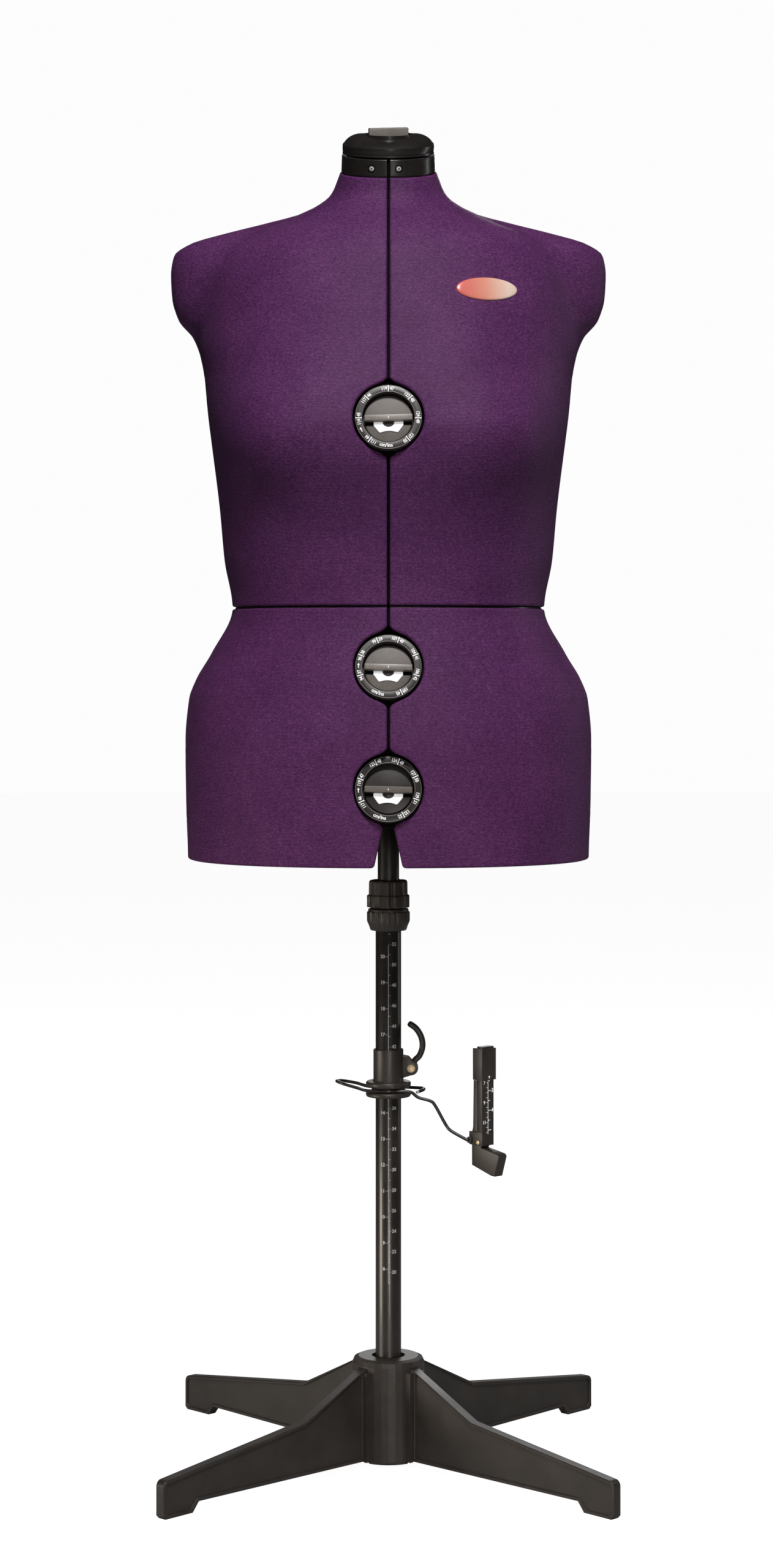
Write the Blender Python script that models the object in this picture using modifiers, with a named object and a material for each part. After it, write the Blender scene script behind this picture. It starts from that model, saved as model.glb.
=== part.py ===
"""Adjustable dress form on a four-legged telescopic stand, with a hem marker on the tube.

Metres, +Z up. The stand's feet rest on z = 0, the tube is the Z axis, and the form faces -Y, so its
own left side is at +X. Every moving piece is modelled where it stands with the form at its smallest size.
"""

import math

import bmesh
import bpy
from mathutils import Matrix, Vector

# ---- Driving dimensions ----------------------------------------------------------------------

GAP = 0.0003             # clearance between pieces that touch

# Torso
HEM_Z = 0.590            # lower edge of the hip panels
WAIST_Z = 0.834          # seam between hip and chest panels
SEAM_HALF_GAP = 0.0012   # half the slit between neighbouring panels
FABRIC_TOP = 1.2615      # where the fabric ends and the bare neck collar starts
COLLAR_TOP = 1.2771
COVER_THICK = 0.0025     # foam-backed jersey
SHELL_THICK = 0.0025     # moulded plastic under it
COLLAR_INSET = 0.0012    # the bare collar is this much narrower than the jersey
NECK_TILT = math.radians(15)   # the neck leans forward
SIDE_SEAM_Y = 0.045      # the side seams lie behind the widest line
SIDE_DIAL_TURN = math.radians(15)
HEM_NOTCH_HALF = 0.0135  # the front slit widens to this at the hem
HEM_NOTCH_TOP = 0.0045   # and starts from this below the hip dial

# Size dials: name of the level and its height
DIAL_LEVELS = {"bust": 1.009, "waist": 0.778, "hip": 0.664}
# Degrees by which a dial's face leans up, with its slope of the torso
DIAL_TILT = {
    "front": {"bust": 13, "waist": 17, "hip": 11},
    "back": {"bust": -4, "waist": 16, "hip": 0},
    "side": {"bust": -6, "waist": 26, "hip": 1},
}
DIAL_R = 0.0318          # outside of the number ring
DIAL_CUT_R = 0.0360      # the round opening that the panel edges leave
DIAL_CUP_R = 0.0238
DIAL_STEPS = 16
STEM_R = 0.0072
STEM_BORE_R = 0.0047
STEM_LENGTH = 0.046
ROD_R = 0.0042
CROSS_BAR_HALF = 0.046
ROD_STOP = 0.0075         # the rods end this far inside the stems

# Neck
CAP_R = 0.0448
CAP_H = 0.0225
CAP_RECESS = 0.0070
NECK_KNOB_R = 0.0215

# Telescopic stand
TUBE_R = 0.0125
TUBE_WALL = 0.0013
TUBE_BOTTOM = 0.008
TUBE_TOP = 0.5385
MAST_R = 0.0105
MAST_WALL = 0.0012
MAST_BOTTOM = 0.160
MAST_TOP = 1.195
CLAMP_BODY_Z = (0.519, 0.5400)
CLAMP_NUT_Z = (0.5415, 0.568)
CLAMP_R = 0.0210

# Base
HUB_R = 0.0353
HUB_BOTTOM = 0.003
HUB_TOP = 0.1030
LEG_REACH = 0.2952
LEG_THICK = 0.0110
LEG_RIM = 0.0035
LEG_RECESS = 0.0016
LEG_ROOT_R = 0.0225

# Hem marker
SLEEVE_R = 0.0147
SLEEVE_BORE_R = 0.0129
SLEEVE_TOP = 0.4027
FLANGE_R = 0.0221
FLANGE_Z = (0.3562, 0.3610, 0.3656, 0.3712)   # lower flange, groove, upper flange
GROOVE_R = 0.0165
WIRE_R = 0.0016
PIVOT = Vector((0.0222, 0.0, 0.3842))         # cam lever's pin
EAR_GAP = 0.0035
EAR_THICK = 0.0028
CLIP_AT = Vector((0.0928, -0.030, 0.3162))    # pin of the hem clip
CLIP_TURN = math.radians(42)
CLIP_WIDTH = 0.0158
CLIP_CHEEK = 0.0020
CLIP_FACES = (-0.0020, 0.0056)                # the bar's back and front, from the pin
CLIP_TOP = 0.0930                             # the bar's top above the pin
JAW_WIDTH = CLIP_WIDTH - 2 * CLIP_CHEEK - 2 * GAP
SLIDER_Z = (0.0605, 0.0912)
WIRE_END = Vector((CLIP_WIDTH / 2 + 0.0042, -0.0105, 0.0016))   # from the pin, in the clip's frame


# ---- Scene helpers ---------------------------------------------------------------------------


def fresh_collection(name):
    made = bpy.data.collections.new(name)
    bpy.context.scene.collection.children.link(made)
    return made


for old in list(bpy.data.objects):
    bpy.data.objects.remove(old)
MODEL = fresh_collection("dress_form")
HELPERS = fresh_collection("helpers")


def material(name, colour, roughness, metallic=0.0):
    made = bpy.data.materials.new(name)
    made.use_nodes = True
    shader = made.node_tree.nodes["Principled BSDF"]
    shader.inputs["Base Color"].default_value = (*colour, 1)
    shader.inputs["Roughness"].default_value = roughness
    shader.inputs["Metallic"].default_value = metallic
    return made


JERSEY = material("purple_jersey", (0.085, 0.022, 0.135), 0.85)
SHELL = material("shell_plastic", (0.018, 0.017, 0.017), 0.30)
DIAL = material("dial_plastic", (0.045, 0.042, 0.042), 0.45)
STAND = material("stand_plastic", (0.020, 0.019, 0.018), 0.45)
PAINTED = material("painted_steel", (0.012, 0.012, 0.012), 0.28, 0.3)
BRASS = material("brass", (0.60, 0.42, 0.18), 0.30, 1.0)


def add(name, mesh, look, collection=None):
    made = bpy.data.objects.new(name, mesh)
    (collection or MODEL).objects.link(made)
    if look:
        mesh.materials.append(look)
    return made


def as_mesh(name, fill, look=None, collection=None):
    """An object whose mesh is filled in by fill(bm)."""
    bm = bmesh.new()
    fill(bm)
    mesh = bpy.data.meshes.new(name)
    bm.to_mesh(mesh)
    bm.free()
    return add(name, mesh, look, collection)


def smooth(made, degrees=40):
    made.data.shade_smooth()
    made.data.set_sharp_from_angle(angle=math.radians(degrees))


def turned(name, profile, look, steps=24, place=None, collection=None, loop=True):
    """A body turned about its own Z from (radius, height) points, given down the outer side.

    A profile that starts and ends on the axis is left open there, and any other is closed into a ring.
    """
    mesh = bpy.data.meshes.new(name)
    on_axis = profile[0][0] == 0 and profile[-1][0] == 0
    edges = [(i, i + 1) for i in range(len(profile) - 1)]
    if loop and not on_axis:
        edges.append((len(profile) - 1, 0))
    mesh.from_pydata([(r, 0, z) for r, z in profile], edges, [])
    made = add(name, mesh, look, collection)
    screw = made.modifiers.new("turn", "SCREW")
    screw.steps = screw.render_steps = steps
    screw.use_merge_vertices = True
    screw.merge_threshold = 0.00001
    if place:
        made.matrix_world = place
    return made


def box_mesh(name, size, centre, look=None, turn=None, collection=None):
    def fill(bm):
        bmesh.ops.create_cube(bm, size=1.0, matrix=Matrix.Diagonal((*size, 1)))
        bmesh.ops.transform(bm, matrix=(turn or Matrix.Identity(4)), verts=bm.verts)
        bmesh.ops.translate(bm, vec=centre, verts=bm.verts)

    return as_mesh(name, fill, look, collection)


def cylinder(name, radius, start, end, look=None, steps=16, collection=None):
    """A round bar between two points."""
    axis = Vector(end) - Vector(start)
    place = Matrix.Translation((Vector(start) + Vector(end)) / 2) @ axis.to_track_quat("Z", "Y").to_matrix().to_4x4()

    def fill(bm):
        bmesh.ops.create_cone(
            bm, cap_ends=True, segments=steps, radius1=radius, radius2=radius, depth=axis.length, matrix=place
        )

    return as_mesh(name, fill, look, collection)


def helper(made):
    made.hide_render = True
    made.display_type = "WIRE"
    for old in list(made.users_collection):
        old.objects.unlink(made)
    HELPERS.objects.link(made)
    return made


def combine(target, other, operation):
    """Adds a Boolean of target with other, which becomes a helper."""
    helper(other)
    step = target.modifiers.new(other.name, "BOOLEAN")
    step.operation = operation
    step.object = other
    step.solver = "EXACT"
    return target


def join(target, other):
    return combine(target, other, "UNION")


def cut(target, other):
    return combine(target, other, "DIFFERENCE")


def made_mesh(curve_object):
    """The mesh of a curve, with its caps welded, in place of the curve."""
    graph = bpy.context.evaluated_depsgraph_get()
    mesh = bpy.data.meshes.new_from_object(curve_object.evaluated_get(graph))
    bm = bmesh.new()
    bm.from_mesh(mesh)
    bmesh.ops.remove_doubles(bm, verts=bm.verts, dist=0.00002)
    bm.to_mesh(mesh)
    bm.free()
    name, place = curve_object.name, curve_object.matrix_world.copy()
    bpy.data.objects.remove(curve_object)
    made = add(name, mesh, None)
    made.matrix_world = place
    return made


def plate(name, outline, thickness, look, place=None):
    """A flat piece: the outline's (x, y) points, extruded evenly to both sides of its plane."""
    data = bpy.data.curves.new(name, "CURVE")
    data.dimensions = "2D"
    data.fill_mode = "BOTH"
    data.extrude = thickness / 2
    spline = data.splines.new("POLY")
    spline.points.add(len(outline) - 1)
    for point, (x, y) in zip(spline.points, outline):
        point.co = (x, y, 0, 1)
    spline.use_cyclic_u = True
    made = add(name, data, look)
    made.matrix_world = place or Matrix.Identity(4)
    bpy.context.view_layer.update()
    return made_mesh(made)


def tube_along(name, points, radius, look, resolution=2):
    data = bpy.data.curves.new(name, "CURVE")
    data.dimensions = "3D"
    data.bevel_depth = radius
    data.bevel_resolution = resolution
    data.use_fill_caps = True
    spline = data.splines.new("POLY")
    spline.points.add(len(points) - 1)
    for point, place in zip(spline.points, points):
        point.co = (*place, 1)
    return add(name, data, look)


def eased(t):
    t = min(1.0, max(0.0, t))
    return t * t * (3 - 2 * t)


def through(points, per_span):
    """Points along a Catmull-Rom curve through the given ones."""
    ends = [points[0] * 2 - points[1], *points, points[-1] * 2 - points[-2]]
    found = []
    for a, b, c, d in zip(ends, ends[1:], ends[2:], ends[3:]):
        for step in range(per_span):
            t = step / per_span
            found.append(
                0.5 * (2 * b + (c - a) * t + (2 * a - 5 * b + 4 * c - d) * t**2 + (3 * b - a - 3 * c + d) * t**3)
            )
    return [*found, points[-1]]


# ---- Torso surface ---------------------------------------------------------------------------

# Horizontal sections of the torso: height, half width, front depth, back depth
SECTIONS = (
    (0.590, 0.1958, 0.154, 0.158),
    (0.640, 0.1974, 0.157, 0.164),
    (0.705, 0.1982, 0.159, 0.167),
    (0.745, 0.1948, 0.155, 0.162),
    (0.765, 0.1875, 0.152, 0.158),
    (0.790, 0.1728, 0.147, 0.151),
    (0.834, 0.1524, 0.142, 0.139),
    (0.880, 0.1600, 0.147, 0.141),
    (0.930, 0.1646, 0.156, 0.145),
    (0.980, 0.1706, 0.165, 0.149),
    (1.000, 0.1732, 0.166, 0.151),
    (1.025, 0.1763, 0.162, 0.153),
    (1.060, 0.1796, 0.153, 0.154),
    (1.090, 0.1835, 0.145, 0.154),
    (1.120, 0.1810, 0.137, 0.150),
    (1.150, 0.1770, 0.127, 0.143),
    (1.175, 0.1660, 0.116, 0.130),
    (1.195, 0.1400, 0.101, 0.113),
    (1.210, 0.1060, 0.086, 0.094),
    (1.223, 0.0785, 0.070, 0.075),
    (1.238, 0.0570, 0.0570, 0.0590),
    (1.252, 0.0502, 0.0515, 0.0515),
    (1.2615, 0.0472, 0.0490, 0.0490),
    (1.300, 0.0462, 0.0475, 0.0475),
)
# The arm stumps: height, reach from the middle, half depth. Outside these heights there is none.
ARMS = (
    (1.060, 0.1500, 0.030),
    (1.085, 0.1800, 0.040),
    (1.100, 0.1912, 0.047),
    (1.115, 0.2045, 0.053),
    (1.135, 0.2110, 0.058),
    (1.160, 0.2124, 0.060),
    (1.178, 0.2095, 0.056),
    (1.190, 0.1930, 0.047),
    (1.200, 0.1600, 0.038),
    (1.212, 0.1135, 0.030),
    (1.225, 0.0690, 0.022),
)
BODY_POWER = 2.25        # 2 is an ellipse, and more is squarer
ARM_POWER = 2.6
ARM_BLEND = 0.007
# Rounded forms on the sections: angle, its spread, height, spread below, spread above, rise
SWELLS = tuple(
    (math.radians(90 + side * turn), math.radians(wide), height, below, above, rise)
    for side in (-1, 1)
    for turn, wide, height, below, above, rise in (
        (180 - 34, 23, 0.992, 0.055, 0.075, 0.026),   # bust
        (33, 26, 0.690, 0.070, 0.060, 0.009),         # seat
        (38, 20, 1.120, 0.070, 0.050, 0.006),         # shoulder blade
    )
)
TILT_FROM, TILT_TO = 1.185, 1.262
LEAN_FROM = 1.245


def hermite(rows, height, column):
    """Monotone cubic through one column of a table whose first column is height."""
    if height <= rows[0][0]:
        return rows[0][column]
    if height >= rows[-1][0]:
        return rows[-1][column]
    i = next(k for k in range(len(rows) - 1) if rows[k][0] <= height < rows[k + 1][0])

    def slope(k):
        if k <= 0 or k >= len(rows) - 1:
            return 0.0
        left = (rows[k][column] - rows[k - 1][column]) / (rows[k][0] - rows[k - 1][0])
        right = (rows[k + 1][column] - rows[k][column]) / (rows[k + 1][0] - rows[k][0])
        return 0.0 if left * right <= 0 else 2 * left * right / (left + right)

    span = rows[i + 1][0] - rows[i][0]
    t = (height - rows[i][0]) / span
    a, b = rows[i][column], rows[i + 1][column]
    return (
        (2 * t**3 - 3 * t**2 + 1) * a
        + (t**3 - 2 * t**2 + t) * span * slope(i)
        + (3 * t**2 - 2 * t**3) * b
        + (t**3 - t**2) * span * slope(i + 1)
    )


def torso_radius(angle, height):
    """Distance from the Z axis to the fabric, at an angle from +X towards +Y."""
    across, along = abs(math.cos(angle)), math.sin(angle)
    half_width = hermite(SECTIONS, height, 1)
    depth = hermite(SECTIONS, height, 2 if along < 0 else 3)
    body = ((across / half_width) ** BODY_POWER + (abs(along) / depth) ** BODY_POWER) ** (-1 / BODY_POWER)
    for middle, wide, level, below, above, rise in SWELLS:
        turn = math.remainder(angle - middle, 2 * math.pi) / wide
        lift = (height - level) / (below if height < level else above)
        body += rise * math.exp(-turn * turn - lift * lift)
    if not ARMS[0][0] < height < ARMS[-1][0]:
        return body
    reach, arm_depth = hermite(ARMS, height, 1), hermite(ARMS, height, 2)
    arm = ((across / reach) ** ARM_POWER + (abs(along) / arm_depth) ** ARM_POWER) ** (-1 / ARM_POWER)
    return (body + arm + math.hypot(body - arm, ARM_BLEND)) / 2


def torso_point(angle, height, inset=0.0):
    """A point on the torso, or inset below it along the normal."""

    def surface(a, h):
        r = torso_radius(a, h)
        y = r * math.sin(a)
        z = h + y * math.tan(NECK_TILT) * eased((h - TILT_FROM) / (TILT_TO - TILT_FROM))
        return Vector((r * math.cos(a), y - math.tan(NECK_TILT) * max(0.0, h - LEAN_FROM), z))

    here = surface(angle, height)
    if not inset:
        return here
    step = 0.0005
    round_it = surface(angle + step, height) - surface(angle - step, height)
    up = surface(angle, height + step) - surface(angle, height - step)
    return here - round_it.cross(up).normalized() * inset


def angle_where(height, coordinate, value, start):
    """The angle near start at which the section's x (0) or y (1) has this value."""
    angle = start
    for _ in range(12):
        r = torso_radius(angle, height)
        ratio = max(-1.0, min(1.0, value / r))
        if coordinate == 0:
            angle = math.copysign(math.acos(ratio), start)
        else:
            angle = math.asin(ratio)
    return angle


def side_seam_y(height):
    """How far behind the middle the side seam runs: it meets the shoulder's ridge above the arm."""
    return SIDE_SEAM_Y * (1 - eased((height - 1.05) / 0.13))


def slit_half(height, front):
    """Half the width of the opening between two panels at this height, round dial openings included."""
    half = SEAM_HALF_GAP
    low_dial = DIAL_LEVELS["hip"] - DIAL_CUT_R
    if front and height < low_dial:
        half = HEM_NOTCH_TOP + (HEM_NOTCH_HALF - HEM_NOTCH_TOP) * (low_dial - height) / (low_dial - HEM_Z)
    for level in DIAL_LEVELS.values():
        if abs(height - level) < DIAL_CUT_R:
            half = max(half, math.sqrt(DIAL_CUT_R**2 - (height - level) ** 2))
    return half


def edge_angles(height, quarter):
    """First and last angle of a quarter panel, going round from +X towards +Y."""
    front = math.pi / 2 - abs(angle_where(height, 0, slit_half(height, True), -1.5))
    back = math.pi / 2 - angle_where(height, 0, slit_half(height, False), 1.5)
    seam, half = side_seam_y(height), slit_half(height, False) * math.cos(SIDE_DIAL_TURN)
    ahead = angle_where(height, 1, seam - half, 0.1)
    behind = angle_where(height, 1, seam + half, 0.1)
    return {
        "front_left": (-math.pi / 2 + front, ahead),
        "back_left": (behind, math.pi / 2 - back),
        "back_right": (math.pi / 2 + back, math.pi - behind),
        "front_right": (math.pi - ahead, 1.5 * math.pi - front),
    }[quarter]


QUARTERS = ("front_left", "front_right", "back_left", "back_right")
ROUND_DIAL = tuple(math.sin(math.radians(turn)) for turn in (-90, -62, -32, 0, 32, 62, 90))


def rows_by_dial(level):
    return [level + share * DIAL_CUT_R for share in ROUND_DIAL]


HIP_ROWS = (HEM_Z, *rows_by_dial(DIAL_LEVELS["hip"]), 0.721, *rows_by_dial(DIAL_LEVELS["waist"]), WAIST_Z - 0.001)
CHEST_ROWS = (
    *(WAIST_Z + 0.001, 0.885, 0.935),
    *rows_by_dial(DIAL_LEVELS["bust"]),
    *(1.072, 1.094, 1.115, 1.138, 1.160, 1.178, 1.190, 1.200, 1.210, 1.222, 1.238),
)
PANEL_COLUMNS = 6


def panel(name, quarter, rows, outer, inner, look):
    """A quarter of the torso between the first and last row, from the outer insets to the inner ones."""
    across = PANEL_COLUMNS + 1

    def number(layer, row, column):
        return (layer * len(rows) + row) * across + column

    points = []
    for insets in (outer, inner):
        for height, inset in zip(rows, insets):
            first, last = edge_angles(height, quarter)
            points += [torso_point(first + (last - first) * i / PANEL_COLUMNS, height, inset) for i in range(across)]
    faces = []
    for row in range(len(rows) - 1):
        for column in range(PANEL_COLUMNS):
            here, over, up, across_up = (row, column), (row, column + 1), (row + 1, column), (row + 1, column + 1)
            for corners in ((here, over, across_up), (here, across_up, up)):
                faces.append([number(0, *corner) for corner in corners])
                faces.append([number(1, *corner) for corner in reversed(corners)])
        for column, way in ((0, 1), (PANEL_COLUMNS, -1)):
            corners = ((0, row, column), (0, row + 1, column), (1, row + 1, column), (1, row, column))
            faces.append([number(*corner) for corner in corners[::way]])
    for column in range(PANEL_COLUMNS):
        for row, way in ((0, 1), (len(rows) - 1, -1)):
            corners = ((1, row, column), (1, row, column + 1), (0, row, column + 1), (0, row, column))
            faces.append([number(*corner) for corner in corners[::way]])
    mesh = bpy.data.meshes.new(name)
    mesh.from_pydata(points, [], faces)
    smooth(add(name, mesh, look))


def torso_panels():
    under = COVER_THICK + GAP
    for quarter in QUARTERS:
        flat = [0.0] * len(HIP_ROWS)
        panel(f"hip_{quarter}_cover", quarter, HIP_ROWS, flat, [COVER_THICK] * len(flat), JERSEY)
        panel(
            f"hip_{quarter}_shell", quarter, HIP_ROWS, [under] * len(flat), [under + SHELL_THICK] * len(flat), SHELL
        )
        rows = (*CHEST_ROWS, FABRIC_TOP - 0.0009)
        panel(f"chest_{quarter}_cover", quarter, rows, [0.0] * len(rows), [COVER_THICK] * len(rows), JERSEY)
        rows = (*CHEST_ROWS, FABRIC_TOP - 0.0009, FABRIC_TOP + 0.0010, COLLAR_TOP)
        outer = [under] * (len(rows) - 2) + [COLLAR_INSET] * 2
        panel(f"chest_{quarter}_shell", quarter, rows, outer, [under + SHELL_THICK] * len(rows), SHELL)


# ---- Size dials ------------------------------------------------------------------------------

DIAL_FACE_SINK = {"front": 0.0012, "back": 0.0018, "side": 0.0032}   # how far the number ring lies below the fabric
KNOB_FLOOR = -0.0110
CUP_BACK = -0.0165


def dial_place(side, name):
    """Where a dial's face centre is, with local Z pointing out of the torso and local Y up."""
    level = DIAL_LEVELS[name]
    facing = side if side in ("front", "back") else "side"
    turn = {"front": -math.pi / 2, "back": math.pi / 2, "left": SIDE_DIAL_TURN, "right": math.pi - SIDE_DIAL_TURN}[side]
    if side in ("front", "back"):
        angle = turn
    else:
        angle = angle_where(level, 1, side_seam_y(level), 0.1)
        angle = angle if side == "left" else math.pi - angle
    outward = Vector((math.cos(turn), math.sin(turn), 0))
    up = Vector((0, 0, 1))
    centre = torso_point(angle, level) - outward * DIAL_FACE_SINK[facing]
    axes = Matrix((up.cross(outward), up, outward)).transposed().to_4x4()
    return Matrix.Translation(centre) @ axes @ Matrix.Rotation(-math.radians(DIAL_TILT[facing][name]), 4, "X")


def slide_way(side):
    """The direction in which a dial's carrier slides outwards."""
    return {"front": Vector((0, -1, 0)), "back": Vector((0, 1, 0)), "left": Vector((1, 0, 0)), "right": Vector((-1, 0, 0))}[
        side
    ]


def stem_end(side, name):
    """The outer end of a dial's stem, inside the back of its cup."""
    cup = dial_place(side, name) @ Vector((0, 0, CUP_BACK + 0.0008))
    return Vector((0, cup.y, cup.z)) if side in ("front", "back") else cup


def dial_housing(name, side, level):
    """Number ring, knob cup and cross bar, with the hollow stem that slides on the frame's rod."""
    place = dial_place(side, level)
    profile = [
        (0, KNOB_FLOOR),
        (DIAL_CUP_R, KNOB_FLOOR),
        (DIAL_CUP_R, 0),
        (DIAL_R - 0.0012, 0),
        (DIAL_R, -0.0012),
        (DIAL_R, -0.0060),
        (DIAL_CUP_R + 0.0018, -0.0072),
        (DIAL_CUP_R + 0.0018, CUP_BACK),
        (0, CUP_BACK),
    ]
    made = turned(name, profile, DIAL, DIAL_STEPS, place)
    bar = box_mesh(f"{name}_bar", (2 * CROSS_BAR_HALF, 0.0070, 0.0030), (0, 0, CUP_BACK - 0.0012))
    bar.matrix_world = place
    join(made, bar)
    end, way = stem_end(side, level), slide_way(side)
    join(made, cylinder(f"{name}_stem", STEM_R, end, end - way * STEM_LENGTH, steps=DIAL_STEPS))
    bore = cylinder(f"{name}_bore", STEM_BORE_R, end - way * 0.0065, end - way * (STEM_LENGTH + 0.01), steps=DIAL_STEPS)
    return cut(made, bore)


def dial_knob(name, side, level):
    """Turning disc in the cup, with the finger bar across it."""
    place = dial_place(side, level)
    disc_r = DIAL_CUP_R - 0.0012
    face = -0.0062
    floor = KNOB_FLOOR + GAP
    made = turned(name, [(0, face), (disc_r - 0.0008, face), (disc_r, face - 0.0008), (disc_r, floor), (0, floor)], DIAL,
                  DIAL_STEPS, place)
    bar = box_mesh(f"{name}_grip", (2 * disc_r - 0.0020, 0.0048, 0.0070), (0, 0, face + 0.0022))
    bar.matrix_world = place
    return join(made, bar)


def size_dials():
    for level in DIAL_LEVELS:
        for side in ("front", "back", "left", "right"):
            dial_housing(f"{level}_{side}_dial", side, level)
            dial_knob(f"{level}_{side}_knob", side, level)


# ---- Frame inside the torso ------------------------------------------------------------------


def torso_frame():
    """Sleeve that turns on the mast, with a rod to each dial."""
    low, high = 0.632, MAST_TOP + 0.012
    inner, outer = MAST_R + 0.0004, 0.0145
    made = turned(
        "torso_frame",
        [
            (0, high),
            (outer, high),
            (outer, low),
            (inner, low),
            (inner, MAST_TOP + 0.001),
            (0, MAST_TOP + 0.001),
        ],
        SHELL,
    )
    for level in DIAL_LEVELS:
        for side in ("front", "back"):
            end, way = stem_end(side, level), slide_way(side)
            tip = end - way * ROD_STOP
            root = Vector((0, way.y * (inner + 0.002), end.z))
            join(made, cylinder(f"rod_{level}_{side}", ROD_R, root, tip, steps=10))
        tips = [stem_end(side, level) - slide_way(side) * ROD_STOP for side in ("left", "right")]
        join(made, cylinder(f"rods_{level}_sides", ROD_R, *tips, steps=10))
        y, z = tips[0].y, tips[0].z
        join(made, box_mesh(f"bracket_{level}", (0.020, y - 0.006, 0.014), (0, (y + 0.0185) / 2, z)))
    return made


def neck_cap_and_knob():
    seat = torso_point(0, COLLAR_TOP)
    lean = Matrix.Rotation(NECK_TILT, 4, "X")
    place = Matrix.Translation((0, seat.y, seat.z + 0.0009)) @ lean
    dome = [(NECK_KNOB_R + 0.001, CAP_H - CAP_RECESS), (NECK_KNOB_R + 0.001, CAP_H)]
    for turn in range(0, 91, 18):
        a = math.radians(turn)
        dome.append((CAP_R - 0.0190 + 0.0190 * math.sin(a), CAP_H - 0.0150 + 0.0150 * math.cos(a)))
    wall = [(CAP_R, 0.0), (CAP_R - 0.0030, 0.0), (CAP_R - 0.0030, 0.0050), (0.0095, 0.0105), (0.0095, -0.010)]
    profile = [(0, CAP_H - CAP_RECESS), *dome, *wall, (0.0, -0.010)]
    turned("neck_cap", profile, SHELL, 28, place)
    base = CAP_H - CAP_RECESS + GAP
    knob = turned(
        "neck_knob",
        [(0, base + 0.0030), (NECK_KNOB_R - 0.0005, base + 0.0030), (NECK_KNOB_R, base), (0, base)],
        DIAL,
        20,
        place,
    )
    bar = box_mesh("neck_knob_grip", (0.0390, 0.0060, 0.0100), (0, 0, CAP_H + 0.0002))
    bar.matrix_world = place @ Matrix.Rotation(math.radians(12), 4, "Z")
    join(knob, bar)


# ---- Stand -----------------------------------------------------------------------------------


def leg_outline(shrink=0.0):
    """(radius from the tube, height) round a leg's side, the root tongue included. shrink moves it inwards."""
    r0, s = (LEG_ROOT_R if not shrink else HUB_R + 0.006), shrink
    tip, corner = LEG_REACH - s, 0.006 - s / 2
    points = [
        (r0, 0.0060 + s),
        (r0, 0.0950 - s * 1.2),
        (HUB_R + (0.002 if not s else 0.006), 0.0950 - s * 1.2),
        (0.1153, 0.0575 - s),
    ]
    for turn in (90, 60, 30, 0):
        a = math.radians(turn)
        points.append((tip - corner + corner * math.cos(a), 0.0355 - s - corner + corner * math.sin(a)))
    points += [(tip, 0.0030 + s), (tip - 0.003, s), (0.2590 + s, s), (0.2515 + s / 2, 0.0092 + s)]
    return points


def legs():
    for name, turn in (("front_left", -45), ("back_left", 45), ("back_right", 135), ("front_right", 225)):
        place = Matrix.Rotation(math.radians(turn), 4, "Z") @ Matrix.Rotation(math.pi / 2, 4, "X")
        leg = plate(f"leg_{name}", leg_outline(), LEG_THICK, STAND, place)
        leg.data.materials.append(STAND)
        for side in (-1, 1):
            shift = Matrix.Translation((0, 0, side * (LEG_THICK / 2)))
            pocket = plate(f"pocket_{name}_{side}", leg_outline(LEG_RIM), 2 * LEG_RECESS, None, place @ shift)
            cut(leg, pocket)


def hub():
    body = turned(
        "base_hub",
        [
            (0, HUB_TOP),
            (HUB_R - 0.006, HUB_TOP),
            (HUB_R - 0.0018, HUB_TOP - 0.0018),
            (HUB_R, HUB_TOP - 0.006),
            (HUB_R, HUB_BOTTOM + 0.003),
            (HUB_R - 0.003, HUB_BOTTOM),
            (0, HUB_BOTTOM),
        ],
        STAND,
        32,
    )
    slot = LEG_THICK + 2 * GAP
    for turn in (45, 135):
        spin = Matrix.Rotation(math.radians(turn), 4, "Z")
        join(body, box_mesh(f"rib_{turn}", (0.0800, slot + 0.0084, 0.0860), (0, 0, 0.049), turn=spin))
    for turn in (-45, 45, 135, 225):
        spin = Matrix.Rotation(math.radians(turn), 4, "Z")
        centre = spin @ Vector((LEG_ROOT_R - GAP + 0.025, 0, 0.0485))
        cut(body, box_mesh(f"slot_{turn}", (0.050, slot, 0.0940), centre, turn=spin))
    way = TUBE_R + GAP
    cut(body, cylinder("tube_way", way, (0, 0, HUB_BOTTOM - 0.01), (0, 0, HUB_TOP + 0.01), steps=32))
    cut(body, cylinder("tube_way_top", way + 0.0035, (0, 0, HUB_TOP - 0.006), (0, 0, HUB_TOP + 0.01), steps=32))


def pipe(name, radius, wall, low, high, look, steps=24):
    return turned(name, [(radius, high), (radius, low), (radius - wall, low), (radius - wall, high)], look, steps)


def stand_tubes():
    pipe("outer_tube", TUBE_R, TUBE_WALL, TUBE_BOTTOM, TUBE_TOP, PAINTED)
    pipe("mast", MAST_R, MAST_WALL, MAST_BOTTOM, MAST_TOP, PAINTED)
    low, high = CLAMP_BODY_Z
    bore = TUBE_R + GAP
    turned(
        "clamp_body",
        [(CLAMP_R - 0.0005, high), (CLAMP_R - 0.0005, low + 0.009), (CLAMP_R - 0.0035, low), (bore, low), (bore, high)],
        STAND,
    )
    low, high = CLAMP_NUT_Z
    bore = MAST_R + GAP
    turned(
        "clamp_nut",
        [(CLAMP_R - 0.002, high), (CLAMP_R, high - 0.010), (CLAMP_R, low), (bore, low), (bore, high)],
        STAND,
    )


# ---- Hem marker ------------------------------------------------------------------------------


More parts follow.
